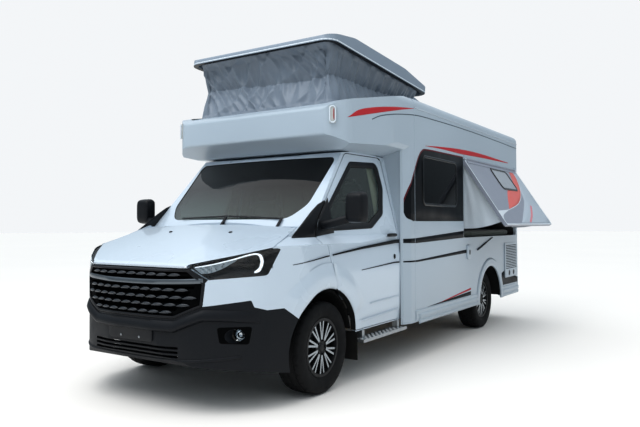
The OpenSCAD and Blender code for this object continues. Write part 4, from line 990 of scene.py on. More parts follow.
band_out = [(4683, 2028), (4656, 1891), (4372, 1654), (3924, 1479), (3338, 1375)]
band_in = [(4540, 2028), (4322, 1803), (4133, 1706), (3792, 1657), (3330, 1380)]
pale_out = [(4884, 2028), (4884, 1700), (4884, 1400), (4884, 1182), (4300, 1182), (3480, 1182)]
pale_in = [(4698, 2028), (4670, 1885), (4390, 1645), (4212, 1499), (3607, 1236), (3480, 1190)]
line = np.array(band_out + [(3074, 1355), (2850, 1346)], float)
on_panel("hatch_band", band_out, band_in, vinyl["salmon"], 0.6)
on_panel("hatch_pale_field", pale_out, pale_in, vinyl["pale"], 0.5, 80)
on_panel("hatch_outline", line + (12, -6), line, vinyl["white"], 0.8, 90, 3)
on_panel("hatch_corner_field", [(2850, 1342), (3074, 1350), (3300, 1366)],
         [(2850, 1225), (2960, 1290), (3300, 1364)], vinyl["white"], 0.7)
on_panel("hatch_pink_bar", [(4420, 1458), (4140, 1310), (3850, 1196)],
         [(4470, 1440), (4190, 1292), (3900, 1184)], vinyl["pink"], 1.1)
print("hatch graphics laid")

# %% [markdown]
# ## Nose detail
# The nose is one curved face, the later of a plan curve and a side curve at each point,
# as in the construction source. A satin bar crosses the grille and black bridges carry it
# on to the lamps. The bumper swells over the intake in a brow. Projecting flat strips on
# the nose would leave ragged ends at the gaps, so each bar is worked out on that face.

# %% Nose detail
profile_side = rounded([(400, 900, 0), (75 - NOSE, 330, 50), (18 - NOSE, 400, 60), (-NOSE, 560, 200),
                        (4 - NOSE, 880, 100), (22 - NOSE, 985, 50), (95 - NOSE, 1050, 110),
                        (-70, 1335, 40)])[1:-1]
profile_side = profile_side[np.argsort(profile_side[:, 1])]


def nose(x, z):
    """Station of the nose at x and z: the later of the plan curve and the side curve."""
    by_plan = np.interp(np.abs(x), plan[:, 0], plan[:, 1])
    return np.maximum(by_plan, np.interp(z, profile_side[:, 1], profile_side[:, 0]))


def nose_bar(name, x0, x1, z0, z1, depth, surface, body, rise=0.0, n=60):
    """A bar along the nose: across it a rounded section that stands proud by depth, along it
    the nose's own curve."""
    x = np.linspace(x0, x1, n)[:, None]
    a = np.linspace(0, 2 * np.pi, 12, endpoint=False)[None]
    z = (z0 + z1) / 2 + (z1 - z0) / 2 * np.sin(a) + rise * (np.abs(x) / max(abs(x0), abs(x1))) ** 2
    return piece(name, place(x + 0 * a, nose(x, z) - depth * np.cos(a), z), capped(n, 12),
                 surface, body)


nose_bar("grille_bar", -604, 604, 887, 923, 5, satin_metal, "body", 16)
band_x = np.linspace(-880, 880, 121)[:, None]
band_t = np.array([0, 0.06, 0.45, 0.7, 0.84, 1.0])[None]
band_p = np.array([0.4, 8, 22, 27, 23, 0.4])[None]
fade = np.clip((880 - np.abs(band_x)) / 160, 0.05, 1)
band_z = np.interp(np.abs(band_x), [0, 400, 604, 700, 880], [644, 644, 728, 724, 704]) - band_t * 84
piece("bumper_brow", place(band_x + 0 * band_t, nose(band_x, band_z) - band_p * fade, band_z),
      capped(121, 6), bumper_pp, "body")
for side, tag in SIDES:
    t = np.linspace(0, 1, 24)[:, None]
    w = np.linspace(0, 1, 5)[None]
    bx, bz = (a0 + (a1 - a0) * t + ((b0 + (b1 - b0) * t) - (a0 + (a1 - a0) * t)) * w
              for a0, a1, b0, b1 in ((508, 614, 502, 632), (997, 903, 1018, 928)))
    piece(f"lamp_bridge_{tag}", place(side * bx, nose(bx, bz) - 1.5, bz), quads(24, 5)[:, ::-side],
          satin_abs, "body", outward=False)
print("bars and brow on the nose")

# %% [markdown]
# ## Chin, plate carrier and fog-lamp frames
# Under the intake runs a ridge, and in the middle a blank plate carrier is held by four
# screws. Each is a crowned block whose depth is added to the nose face, so it bends with
# the bumper. A fog lamp sits in a four-sided frame with a round hole: the frame is ruled
# from its outer edge to the circle, point by point at the same angle.

# %% Chin, plate carrier and fog-lamp frames
def drawn(c, power):
    """A sine or cosine drawn toward +-1: its size to the power 2 / power, with its own sign."""
    return np.sign(c) * np.abs(c) ** (2 / power)


def pad(low, high, power=4.0, n=28, m=40):
    """A closed, crowned block: a sphere's grid whose sines and cosines are all drawn toward +-1."""
    b = np.linspace(-np.pi / 2, np.pi / 2, n)[:, None]
    a = np.linspace(-np.pi, np.pi, m, endpoint=False)[None, :]
    around = drawn(np.cos(b), power)
    x, y = around * drawn(np.cos(a), power), around * drawn(np.sin(a), power)
    unit = np.stack(np.broadcast_arrays(x, y, drawn(np.sin(b), power)), -1)
    low, high = np.array(low, float), np.array(high, float)
    return (low + high) / 2 + unit * (high - low) / 2, quads(n, m, close_m=True)


nose_bar("chin_ridge", -800, 800, 342, 366, 9, bumper_pp, "body", 40)
plate, faces = pad((-225, -4, 486), (225, 12, 640), 14.0, 24, 80)
piece("plate_carrier", place(plate[..., 0], nose(plate[..., 0], plate[..., 2]) - plate[..., 1],
                             plate[..., 2]), faces, satin_abs, "body")
for k, (px, pz) in enumerate(((-95, 612), (95, 612), (-95, 510), (95, 510))):
    screw, faces = pad((px - 9, 8, pz - 9), (px + 9, 16, pz + 9), 2.0, 12, 20)
    piece(f"plate_screw_{k}", place(screw[..., 0], nose(screw[..., 0], screw[..., 2]) - screw[..., 1],
                                    screw[..., 2]), faces, steel_plain, "body")
for side, tag in SIDES:
    rim = evenly(rounded([(690, 492, 14), (835, 480, 14), (850, 602, 14), (676, 602, 14)]), 80)
    turn = np.arctan2(rim[:, 1] - 540, rim[:, 0] - 765)
    hole = np.stack([765 + 50 * np.cos(turn), 540 + 50 * np.sin(turn)], -1)
    flat = rim[None] + (hole - rim)[None] * np.linspace(0, 1, 6)[:, None, None]
    off = np.array([0.4, 4, 5, 4, 3, 1])[:, None]
    # The frame's near-unlit black is painted shade of the pocket the fog lamp sits in.
    piece(f"fog_bezel_{tag}", place(side * flat[..., 0], nose(flat[..., 0], flat[..., 1]) - off,
                                    flat[..., 1]),
          quads(6, 80, close_m=True)[:, ::side], black_with_painted_shade, "body", outward=False)
print("chin ridge, plate carrier and two fog-lamp frames")

# %% [markdown]
# ## Grille
# A black frame lines the grille's opening, a bright line follows the bonnet's lip, and
# the slats carry short lens-shaped blades set brickwise. An Array modifier could repeat a
# blade, but the rows differ in length and bend with the nose. So one blade's formula is
# worked out for all centres at once, as one array.

# %% Grille
grille_edge = evenly(rounded([(-395, 655, 40), (395, 655, 40), (600, 742, 25), (616, 905, 15),
                              (508, 1000, 15), (-508, 1000, 15), (-616, 905, 15), (-600, 742, 25)]), 160)
rim_x, rim_z, proud = framed(grille_edge, [(-20, -6), (-18, 2), (-12, 4), (-5, 4), (-1, 1), (-1, -6)])
piece("grille_frame", place(rim_x, nose(rim_x, rim_z) - proud, rim_z), quads(160, 6, True, True),
      satin_abs, "body")
nose_bar("bonnet_lip", -500, 500, 1009, 1019, 3, bright_metal, "bonnet")
blade_x, blade_z = [], []
a = np.linspace(0, 2 * np.pi, 10, endpoint=False)
for row, z in enumerate(np.arange(690, 960, 52)):
    if 860 < z < 930:
        continue
    limit = np.interp(z, [655, 742, 905, 1000], [395, 600, 616, 508]) - 72
    centres = np.arange(-limit + (row % 2) * 52, limit + 1, 104)
    blade_x.append(centres)
    blade_z.append(np.full(len(centres), z + 10.0))
blade_x, blade_z = np.concatenate(blade_x)[:, None, None], np.concatenate(blade_z)[:, None, None]
t = np.linspace(-1, 1, 9)[None, :, None]
thick = np.sqrt(np.clip(1.02 - t ** 2, 0.02, 1))
bx = blade_x + 45 * t + 10 * np.sin(a)
bz = blade_z + 12 * thick * np.sin(a) - 5 * t ** 2
blades = place(bx, nose(bx, bz) + 6 - 11 * thick * np.cos(a), bz)
blade_faces = np.array(quads(9, 10, close_m=True))
count = len(blade_x)
faces = (blade_faces[None] + 90 * np.arange(count)[:, None, None]).reshape(-1, 4).tolist()
ends = (list(range(10))[::-1], list(range(80, 90)))
faces += [[90 * k + v for v in end] for k in range(count) for end in ends]
# The blades' grey finish is partly a painted highlight.
piece("grille_blades", blades, faces, blade_abs_with_painted_highlight, "body")
print(count, "grille blades")

# %% [markdown]
# ## Lines of the lamps
# A headlamp is drawn first in front view: the outline of its cover, the bent line of its
# light guide and the two edges of its reflector. Projector and fog lamp are turned
# sections, a list of radii with a depth for each. They could be worked out for each side,
# but one list serves both.

# %% Lines of the lamps
lamp = [(628, 926, 15), (909, 950, 20), (952, 1138, 10), (917, 1136, 0), (734, 1082, 60), (496, 1022, 5)]
rim = evenly(rounded(lamp), 90)
mid = np.array([790.0, 1020.0])
guide = bend([(545, 1012), (640, 1030), (750, 1064), (842, 1098), (874, 1092), (884, 1046), (874, 994),
              (852, 972)], 60)
wide = np.interp(np.linspace(0, 1, 60), [0, 0.5, 0.62, 0.9, 1], [3.5, 6.0, 12.0, 12.0, 5])
inner = bend([(535, 1012), (600, 1020), (690, 1040), (770, 1064)], 30)
outer_line = bend([(585, 968), (640, 975), (700, 1005), (770, 1060)], 30)
turn_a = np.linspace(0, 2 * np.pi, 40, endpoint=False)[None]
lens_r = np.array([44, 44, 38, 37, 33, 26, 16, 2.0])[:, None]
lens_d = np.array([20, 0, -2, 6, 1, -6, -10, -12.0])[:, None]
fog_r = np.array([44, 42, 34, 24, 12, 2.0])[:, None]
fog_d = np.array([10, 22, 36, 44, 47, 48.0])[:, None]
out_x, out_s = np.sin(np.radians(38)), -np.cos(np.radians(38))
print("lamp outline", np.round(np.ptp(rim, axis=0)), "mm across and high")

# %% [markdown]
# ## Lamps
# Behind each clear cover lie a black bezel, a bent light guide made bright by a painted glow, a frosted
# reflector with three facets and a round projector. The cover is the construction part itself, solid and
# clear, and the parts inside follow the nose face a little way in, so that they show through it. The fog
# lamps get a bright cup. The corner markers of the alcove get a pale rim and a thin red strip, which a
# texture would leave without relief.

# %% Lamps
for side, tag in SIDES:
    shrink = np.linspace(1, 0.02, 10)[:, None, None]
    flat = mid + (rim - mid)[None] * shrink * 0.985
    depth = 16 + 34 * (1 - shrink[..., 0] ** 2)
    bowl = place(side * flat[..., 0], nose(flat[..., 0], flat[..., 1]) + depth, flat[..., 1])
    piece(f"lamp_bezel_{tag}", bowl, quads(10, 90, close_m=True), gloss_abs, "body", outward=False)
    path = place(side * guide[:, 0], nose(guide[:, 0], guide[:, 1]) + 15, guide[:, 1])
    piece(f"lamp_guide_{tag}", tube(path, wide / 1000, 10), capped(60, 10), light_guide, "body")
    w = np.linspace(0, 1, 8)[None]
    t = np.linspace(0, 1, 30)[:, None]
    flat = inner[:, None] + (outer_line - inner)[:, None] * w[..., None]
    facet = 14 + 5 * np.abs(np.sin(2 * np.pi * 3 * t)) + 0 * w
    piece(f"lamp_reflector_{tag}", place(side * flat[..., 0], nose(flat[..., 0], flat[..., 1]) + facet,
                                         flat[..., 1]),
          quads(30, 8)[:, ::-side], lamp_facets, "body", outward=False)
    px, pz = 795 + lens_r * np.cos(turn_a), 1034 + lens_r * np.sin(turn_a)
    projector = place(side * px, nose(795.0, 1034.0) + 46 + lens_d + 0.55 * (px - 795), pz)
    piece(f"lamp_projector_{tag}", projector.reshape(-1, 3), quads(8, 40, close_m=True), gloss_abs,
          "body", outward=False)
    cup = place(side * (765 + fog_r * np.cos(turn_a)), -745 + fog_d + 0 * turn_a,
                540 + fog_r * np.sin(turn_a))
    piece(f"fog_reflector_{tag}", cup, quads(6, 40, close_m=True), reflector, "body", outward=False)
    # The marker's face looks 38 degrees outward; u runs across it, h stands off it.
    on_marker = lambda u, z, h: place(side * (848 - out_s * u + out_x * (39.5 + h)),
                                      352 + out_x * u + out_s * (39.5 + h), z)
    pane_frame(f"marker_bezel_{tag}", box_outline(-25, 25, 2151, 2289, 24), on_marker, edge_white, "body",
               [(-7, 0), (-6, 5), (-2, 7), (3, 6), (5, 0)])
    strip, faces = pad((7, 2172, -1), (15, 2268, 4), 3.0, 14, 24)
    piece(f"marker_strip_{tag}", on_marker(strip[..., 0], strip[..., 1], strip[..., 2]), faces,
          red_lens, "body")
print("lamp parts behind both covers")

# %% [markdown]
# ## Mirrors
# A van mirror is a deep black moulding with a soft-edged back and a flat glass that looks
# rearward. A crowned block has the right softness; its front half is drawn to a smaller
# outline, so that it tapers into the wind.

# %% Mirrors
for side, tag in SIDES:
    head, faces = pad((1100, 95, 1312), (1278, 205, 1562), 5.0, 30, 44)
    back = np.clip((205 - head[..., 1]) / 110, 0, 1)[..., None] ** 1.6
    middle = np.array([1190.0, 150, 1440])
    head = head + back * (middle - head) * (0.16, 0, 0.13)
    shell = piece(f"mirror_shell_{tag}", spot(head, side), faces, satin_abs, f"door_{tag}")
    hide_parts(f"mirror_{tag}")
    glass = evenly(box_outline(1114, 1264, 1328, 1548, 34), 72)
    pull = np.linspace(1, 0.02, 8)[:, None, None]
    flat = glass.mean(0) + (glass - glass.mean(0))[None] * pull
    piece(f"mirror_glass_{tag}", place(side * flat[..., 0], 205.8 + 0 * flat[..., 0], flat[..., 1]),
          quads(8, 72, close_m=True), mirror_glass, f"door_{tag}", outward=False)
    arm = bend([(886, 116, 1300), (960, 116, 1308), (1040, 124, 1326), (1128, 140, 1350)], 24)
    ring_a = np.linspace(0, 2 * np.pi, 16, endpoint=False)[None]
    arm_points = place(side * (arm[:, :1] + 0 * ring_a), arm[:, 1:2] + 28 * np.cos(ring_a),
                       arm[:, 2:] + 36 * np.sin(ring_a))
    piece(f"mirror_arm_{tag}", arm_points, capped(24, 16), satin_abs, f"door_{tag}")
print("two mirrors")

# %% [markdown]
# ## Door furniture
# The black corner ahead of the door glass, the printed border round it, the rubber seal in
# front, the pull handle and the lock are trim that a construction model leaves out. The
# corner runs over the wing and the door, so it is one strip on each. The border is a
# profile carried round the glass, laid on the cab's own formula, and the seal is a round
# bar along the same formula; the handle and lock are crowned blocks.

# %% Door furniture
door_glass = rounded([(125, 1258, 15), (840, 1278, 90), (1062, 1400, 60), (1150, 1640, 90), (1130, 1868, 60),
                      (690, 1850, 60), (170, 1385, 40)])
sail_top = [(-292, 1207), (-130, 1315), (9, 1408), (110, 1466), (212, 1502)]
sail_low = [(-292, 1204), (-5, 1207), (62, 1334), (78, 1352), (212, 1490)]
corner_top = [(14, 1216), (84, 1338), (102, 1362), (262, 1526)]
corner_low = [(14, 1211), (262, 1236)]
border = [(9, 1.6), (9, 2.4), (-4, 2.8), (-30, -3), (-44, -9.5), (-44, -10.5), (-28, -10.5), (-4, -2)]
for side, tag in SIDES:
    body = f"door_{tag}"
    on_side(f"mirror_sail_{tag}", sail_top, sail_low, satin_abs, "body", side, cab_side, None,
            40, 6, 1.8, 1.4)
    on_side(f"door_corner_{tag}", corner_top, corner_low, satin_abs, body, side, cab_side, None,
            40, 6, 1.8, 1.4)
    ring_s, ring_z, proud = framed(evenly(door_glass, 140), border)
    piece(f"door_glass_border_{tag}", place(side * (cab_side(ring_s, ring_z) + proud), ring_s, ring_z),
          quads(140, 8, True, True), satin_abs, body)
    seal = bend([(0, 1204), (36, 1270), (74, 1340), (140, 1412), (218, 1492)], 40)
    path = place(side * (cab_side(seal[:, 0], seal[:, 1]) - 3), seal[:, 0], seal[:, 1])
    piece(f"door_front_seal_{tag}", tube(path, 0.009, 10), capped(40, 10), rubber, body)
    grip, faces = pad((1006, 1022, 1190), (1038, 1206, 1222), 3.2, 20, 36)
    piece(f"door_handle_{tag}", spot(grip, side), faces, satin_abs, body)
    lock, faces = pad((1008, 1150, 985), (1030, 1178, 1030), 2.6, 16, 24)
    piece(f"door_lock_{tag}", spot(lock, side), faces, satin_abs, body)
print("door furniture on both doors")

# %% [markdown]
# ## Curtain
# Behind each cab door hangs a curtain, drawn together. Simulated cloth would hang much the
# same here, pinned along its rail, but takes longer and changes with each setting. So its
# folds are a wave along its width that opens toward the hem.

# %% Curtain
u, v = np.linspace(0, 1, 140)[:, None], np.linspace(0, 1, 30)[None, :]
for side, tag in SIDES:
    top_x, low_x = 790, 905
    folds = 13 * np.sin(2 * np.pi * 6.5 * u + 0.7 * np.sin(9 * u)) * (0.6 + 0.4 * (1 - v))
    points = place(side * (low_x + (top_x - low_x) * v + folds), 1038 + 118 * u + 0 * v, 1285 + 555 * v)
    drape = piece(f"curtain_{tag}", points, quads(140, 30), curtain_linen, "body",
                  np.stack(np.broadcast_arrays(u * 0.42, v * 0.57), -1), outward=False)
    skin_area(drape) / 0.567
    skin_area(drape)
print("curtains", round(skin_area(drape), 3), "square metres each")

# %% [markdown]
# ## Foam under cloth
# Upholstery is foam under cloth, so its faces crown and its sides pull in. A bevelled box
# would look hard. Each pad starts as a crowned block, is remeshed evenly and blown up a
# little by the cloth solver, with its travel capped so that it stays where the construction
# solid is.

# %% Swelling and the map of the cloth
CAP = 0.012


def swell(made, voxel, cap=CAP):
    """Remeshes the pad evenly, lets cloth under pressure swell it for 16 frames, caps each
    point's travel and keeps the result."""
    even = made.modifiers.new("even", "REMESH")
    even.mode, even.voxel_size = "VOXEL", voxel
    keep = bpy.data.meshes.new_from_object(made.evaluated_get(bpy.context.evaluated_depsgraph_get()))
    made.modifiers.clear()
    made.data = keep
    rest = np.empty(len(keep.vertices) * 3, np.float32)
    keep.vertices.foreach_get("co", rest)
    cloth = made.modifiers.new("cloth", "CLOTH")
    cloth.settings.use_pressure, cloth.settings.uniform_pressure_force = True, 3.0
    cloth.settings.effector_weights.gravity = 0.0
    scene = bpy.context.scene
    for step in range(1, 17):
        scene.frame_set(step)
    moved = np.empty_like(rest)
    made.evaluated_get(bpy.context.evaluated_depsgraph_get()).data.vertices.foreach_get("co", moved)
    made.modifiers.clear()
    scene.frame_set(1)
    travel = (moved - rest).reshape(-1, 3)
    length = np.linalg.norm(travel, axis=1, keepdims=True)
    share = np.minimum(1, cap / np.maximum(length, 1e-9))
    keep.vertices.foreach_set("co", (rest.reshape(-1, 3) + travel * share).ravel())
    keep.polygons.foreach_set("use_smooth", np.ones(len(keep.polygons), bool))
    keep.update()


def flat_uv(made):
    """Lays the cloth map over a pad: across it and along its slope, in metres."""
    mesh = made.data
    co, corner = np.empty(len(mesh.vertices) * 3, np.float32), np.empty(len(mesh.loops), np.int32)
    mesh.vertices.foreach_get("co", co)
    mesh.loops.foreach_get("vertex_index", corner)
    co = co.reshape(-1, 3)
    layer = mesh.uv_layers.new(name="cloth")
    spread = np.stack([co[:, 0], co[:, 1] + co[:, 2]], -1)
    layer.data.foreach_set("uv", spread[corner].astype(np.float32).ravel())


print("a pad's travel is capped at", CAP * 1000, "mm")

# %% [markdown]
# ## Seats
# Each cab seat is a cushion, a back and a headrest on a moulded base. Two sewn channels run
# along cushion and back. A bump in the cloth would leave their outline straight, so they are
# pressed into the block as narrow bell curves. Back and headrest lean rearward.

# %% Seats
def lean(points, pivot, degrees):
    """Leans points rearward about a line across the vehicle."""
    c, s = np.cos(np.radians(degrees)), np.sin(np.radians(degrees))
    ds, dz = points[..., 1] - pivot[0], points[..., 2] - pivot[1]
    return np.stack([points[..., 0], pivot[0] + ds * c + dz * s, pivot[1] - ds * s + dz * c], -1)


pads = []
for side, tag in SIDES:
    cushion, faces = pad((285, 632, 872), (735, 1100, 998), 5.0, 34, 60)
    seams = np.exp(-((np.abs(cushion[..., 0] - 510) - 120) / 14) ** 2)
    cushion[..., 2] -= 9 * seams * (cushion[..., 2] > 960)
    back, _ = pad((290, 1062, 935), (730, 1160, 1545), 5.0, 34, 60)
    seams = np.exp(-((np.abs(back[..., 0] - 510) - 115) / 14) ** 2)
    back[..., 1] += 9 * seams * (back[..., 1] < 1100)
    rest, _ = pad((400, 1085, 1565), (620, 1160, 1725), 3.6, 24, 40)
    back, rest = lean(back, (1110, 935), 10), lean(rest, (1110, 935), 10)
    for kind, points, shape in (("cushion", cushion, (34, 60)), ("back", back, (34, 60)),
                                ("headrest", rest, (24, 40))):
        made = piece(f"seat_{kind}_{tag}", spot(points, side), quads(*shape, close_m=True),
                     seat_cloth, "body")
        pads.append((made, 0.016))
    base, faces = pad((300, 655, 692), (720, 1085, 868), 8.0, 20, 40)
    made = piece(f"seat_base_{tag}", spot(base, side), faces, trim_pp, "body")
    if side > 0:
        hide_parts("cab_seats")
print(len(pads), "seat pads")

# %% [markdown]
# ## Mattress
# The bed that shows under the hatch is one long mattress. It is made as the seats are and
# swells less, because it lies close to the wall. A simulation for each pad as it is made
# would do the same; here all of them are swollen in one loop.

# %% Mattress, and all pads swollen
mattress, faces = pad((262, 2862, 1142), (1040, 4868, 1232), 7.0, 26, 120)
bed = piece("bed_mattress", spot(mattress), faces, ticking, "body")
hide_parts("bed")
pads.append((bed, 0.028))
for made, voxel in pads:
    swell(made, voxel, 0.003 if made is bed else CAP)
    flat_uv(made)
    made.data.materials.clear()
    made.data.materials.append(ticking if made is bed else seat_cloth)
print(len(pads), "padded pieces")

# %% [markdown]
# ## Mouldings, steps and washer jets
# Extruded mouldings cover the joints of the box panels, the sill steps are chequer plate,
# and two washer jets sit on the bonnet. The chequer could be a bump in the material, but
# its edge would stay straight. So it is real relief: one low bar with sloping ends is
# repeated over the step, turned left and right in turn.

# %% Mouldings, steps and washer jets
s = np.linspace(1492, 4968, 40)[:, None]
a = np.linspace(-np.pi / 2, np.pi / 2, 9)[None]
for side, tag in SIDES:
    wall = side * BOX_HALF
    points = place(wall + side * 6 * np.cos(a) + 0 * s, s + 0 * a, 2430 + 9 * np.sin(a) + 0 * s)
    piece(f"roof_moulding_{tag}", points, capped(40, 9), gelcoat_white, "body")
    rise = np.linspace(484, 2420, 30)[:, None]
    points = place(wall + side * 2 * np.cos(a) + 0 * rise, 1491 + 4 * np.sin(a) + 0 * rise, rise + 0 * a)
    piece(f"corner_moulding_{tag}", points, capped(30, 9), gelcoat_white, "body")
    cols, rows = np.meshgrid(np.arange(505, 1295, 34.0), np.arange(968, 1066, 24.0))
    way = np.where((np.round(cols / 34) + np.round(rows / 24)) % 2 == 0, 1, -1).ravel()[:, None]
    bar_a = np.array([-13, 13, 13, -13, -8, 8, 8, -8.0])[None]
    bar_b = np.array([-3.5, -3.5, 3.5, 3.5, -1, -1, 1, 1.0])[None]
    bar_h = np.array([0.1, 0.1, 0.1, 0.1, 2.6, 2.6, 2.6, 2.6])[None]
    c = np.cos(np.pi / 4)
    bar_s = cols.ravel()[:, None] + c * (bar_a - way * bar_b)
    bar_x = rows.ravel()[:, None] + c * (way * bar_a + bar_b)
    bars = place(side * bar_x, bar_s, 350 + bar_h + 0 * bar_s)
    one = [[0, 1, 5, 4], [1, 2, 6, 5], [2, 3, 7, 6], [3, 0, 4, 7], [4, 5, 6, 7], [3, 2, 1, 0]]
    faces = (np.array(one)[None] + 8 * np.arange(cols.size)[:, None, None]).reshape(-1, 4)
    crisp(piece(f"step_chequer_{tag}", bars, faces, aluminium, "body"))
    jet, faces = pad((side * 330 - 16, -352, 1228), (side * 330 + 16, -318, 1254), 2.4, 14, 22)
    piece(f"washer_jet_{tag}", spot(jet), faces, satin_abs, "bonnet")
print("mouldings and", cols.size, "chequer bars on each step")

# %% [markdown]
# ## Wheel arches and skirts
# The front arch is pressed outward in a soft flare that crosses from the wing to the door,
# so it is one surface on each, parted along the shut line. The rear arch has a moulded lip
# and the skirts have two ridges. Each is a section of heights off the panel, carried round
# the wheel or along the skirt; sculpting the panels would change the construction nodes.

# %% Wheel arches and skirts
door_edge_z, door_edge_s = [430.0, 760.0, 1205.0], [250.0, 140.0, 4.0]
flare_r = np.array([458, 462, 474, 510, 560, 596, 626, 652.0])[None]
flare_x = np.array([0.4, 8, 13, 15, 13, 8, 2.5, 0.4])[None]
dense = np.radians(np.linspace(20, 120, 200))[:, None]
beyond = flare_r * np.cos(dense) - np.interp(AXLE_Z + flare_r * np.sin(dense), door_edge_z, door_edge_s)
split = dense[np.argmin(np.abs(beyond), 0), 0][None]
share = np.linspace(0, 1, 40)[:, None]
for side, tag in SIDES:
    wing_flare = ("wing", "body", split + 12 / flare_r, np.radians(144))
    door_flare = ("door", f"door_{tag}", np.radians(26), split - 12 / flare_r)
    for name, body, first, last in (wing_flare, door_flare):
        angle = first + (last - first) * share
        s, z = flare_r * np.cos(angle), AXLE_Z + flare_r * np.sin(angle)
        ease = np.clip((1 - share) / 0.15, 0.04, 1)
        if name == "door":
            ease = np.clip(np.minimum(share, 1 - share) / 0.12, 0.04, 1)
        points = place(side * (cab_side(s, z) + flare_x * ease), s, z)
        piece(f"arch_flare_{name}_{tag}", points, quads(40, 8)[:, ::-side], enamel_white, body, outward=False)
turn_a = np.radians(np.linspace(-2, 182, 60))[:, None]
lip_r = np.array([422, 422, 432, 462, 508, 524])[None]
lip_x = np.array([-8, 8, 14, 15, 10, 0.4])[None]
ridge_z = np.array([340, 346, 376, 386, 396, 432, 442, 448])[None]
ridge_x = np.array([0.4, 11, 14, 3, 14, 15, 9, 0.4])[None]
for side, tag in SIDES:
    s, z = WHEELBASE + lip_r * np.cos(turn_a), AXLE_Z + lip_r * np.sin(turn_a)
    piece(f"arch_lip_{tag}", place(side * (BOX_HALF + lip_x + 0 * turn_a), s, z), capped(60, 6),
          gelcoat_white, "body")
    for name, s0, s1 in (("front", 1560 if side > 0 else 2270, WHEELBASE - 492),
                         ("rear", WHEELBASE + 492, 4966)):
        run_s = np.linspace(s0, s1, 30)[:, None]
        piece(f"skirt_ridge_{name}_{tag}", place(side * (BOX_HALF + ridge_x + 0 * run_s),
                                                 run_s + 0 * ridge_z, ridge_z + 0 * run_s),
              capped(30, 8), gelcoat_white, "body")
print("flares, lips and skirt ridges on both sides")

# %% [markdown]
# ## Hatch fittings and vent
# On the wall below the hatch sit its latch and a gas strut, and the vent panel has two round knobs and a
# painted shadow behind its louvres, a near-unlit sheet. The strut is a bar of two thicknesses, the knobs are
# turned sections and the latch is a crowned block, each the simplest formula that gives its outline. The
# strut stays on the wall when the hatch moves.

# %% Hatch fittings and vent
latch, faces = pad((1074, 2902, 896), (1098, 3030, 1066), 4.0, 20, 26)
piece("hatch_latch", spot(latch), faces, gelcoat_white, "body")
slot, faces = pad((1090, 2950, 950), (1101, 2990, 1010), 3.0, 16, 22)
piece("hatch_latch_slot", spot(slot), faces, satin_abs, "body")
prop = np.linspace((1088, 3267, 996), (1088, 3831, 1132), 24)
prop_r = np.where(np.arange(24) < 14, 9.0, 5.5) / 1000
piece("hatch_gas_strut", tube(spot(prop), prop_r, 12), capped(24, 12), satin_abs, "body")
# A near-unlit sheet behind the louvres is a painted shadow.
back_s, back_z = np.linspace(4384, 4896, 12)[:, None], np.linspace(694, 1026, 8)[None]
piece("vent_shadow", place(1082.0 + 0 * back_s + 0 * back_z, back_s + 0 * back_z, back_z + 0 * back_s),
      quads(12, 8), black_with_painted_shade, "body", outward=False)
for k, s in enumerate((4540.0, 4740.0)):
    knob = turned_about_x([1, 26, 33, 36, 36, 1], [10, 9.5, 7, 2, 0.5, 0.5], 40, (1080.6, s, 642))
    piece(f"vent_knob_{k}", knob, quads(40, 6, True, True), satin_abs, "body")
print("hatch fittings and vent made")

# %% [markdown]
# ## Studio floor
# The vehicle stands on a plain pale floor, a wide disc worked out as rings. A plane would
# do as well, but rings put the small faces near the wheels, where the shadow lies.

# %% Studio floor
ring_r = np.array([0.02, 3, 8, 16, 30, 60, 110])[:, None]
ring_a = np.linspace(0, 2 * np.pi, 96, endpoint=False)[None]
floor_points = np.stack(np.broadcast_arrays(ring_r * np.cos(ring_a), ring_r * np.sin(ring_a), -0.0005), -1)
floor_mesh = bpy.data.meshes.new("studio_floor")
floor_mesh.from_pydata(floor_points.reshape(-1, 3).tolist(), [], quads(7, 96, close_m=True)[:, ::-1].tolist())
floor_mesh.materials.append(finish("pale_studio_floor", "#f8f4ef", 0.9, (4000, 0.01), (50, 0.01)))
studio_floor = bpy.data.objects.new("studio_floor", floor_mesh)
bpy.context.scene.collection.objects.link(studio_floor)
print("floor disc of", 2 * ring_r[-1, 0], "m across")

# %% [markdown]
# ## Sky
# Soft light comes from all round, stronger from above, as under a bright overcast sky. A
# picture of a sky could give it, but this lesson reads no other file. A gradient by height
# is enough for paint and glass to have something to reflect. Where the camera sees the sky
# itself, it is one plain tone.

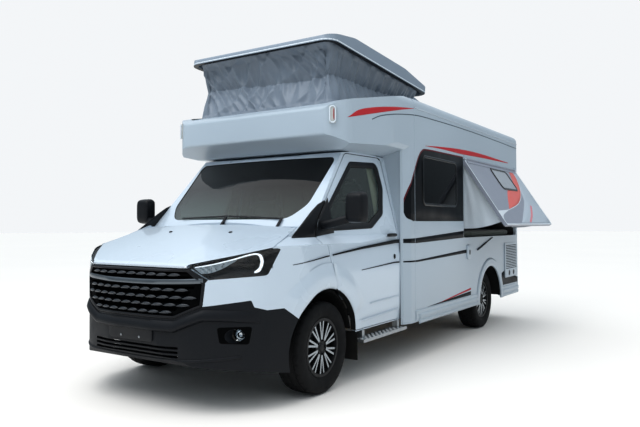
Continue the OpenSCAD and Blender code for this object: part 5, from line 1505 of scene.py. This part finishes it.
# %% Sky
SKY = 1.5
world = bpy.data.worlds.new("studio_sky")
bpy.context.scene.world = world
world.use_nodes = True
sky = world.node_tree
direction = node(sky, "ShaderNodeTexCoord").outputs["Generated"]
height = node(sky, "ShaderNodeSeparateXYZ", {0: direction}).outputs["Z"]
climb = node(sky, "ShaderNodeMapRange", {"Value": height, "From Min": -0.3, "From Max": 1.0}).outputs[0]
ramp = node(sky, "ShaderNodeValToRGB", {0: climb})
for position, code in ((0.0, "#565d63"), (0.23, "#565f66"), (0.5, "#9aa6af"), (0.77, "#e3eaf0"),
                       (1.0, "#ffffff")):
    stops = ramp.color_ramp.elements
    stop = stops.new(position) if 0 < position < 1 else stops[-int(position)]
    stop.color = linear(code)
seen = node(sky, "ShaderNodeLightPath").outputs["Is Camera Ray"]
tone = node(sky, "ShaderNodeMix", {0: seen, 6: ramp.outputs[0], 7: linear("#f5f7f9", 1 / SKY)},
            data_type="RGBA").outputs[2]
shine = sky.nodes["Background"]
sky.links.new(tone, shine.inputs["Color"])
shine.inputs["Strength"].default_value = SKY
print("sky of strength", SKY)

# %% [markdown]
# ## Window light and tone
# One large square light high above and ahead of the nose brings out the forms, as a roof
# window would; a sun would draw hard shadows. A gamma below one gives the picture the
# firmer contrast of a camera, with no material changed for it.

# %% Window light and tone
def soft_box(name, at, toward, size, power):
    """A square area light that looks from one point to another."""
    light = bpy.data.lights.new(name, "AREA")
    light.shape, light.size, light.energy = "SQUARE", size, power
    made = bpy.data.objects.new(name, light)
    look = place(*toward) - place(*at)
    z = -look / np.linalg.norm(look)
    x = np.cross((0, 0, 1), z) / np.linalg.norm(np.cross((0, 0, 1), z))
    turn = Matrix(np.column_stack([x, np.cross(z, x), z]).tolist()).to_4x4()
    made.matrix_world = Matrix.Translation(place(*at)) @ turn
    bpy.context.scene.collection.objects.link(made)


soft_box("sky_window", (-400, -4200, 7800), (0, 300, 1200), 6.0, 300)
bpy.context.scene.view_settings.view_transform = "Standard"
bpy.context.scene.view_settings.gamma = 0.86
print("light and tone set")
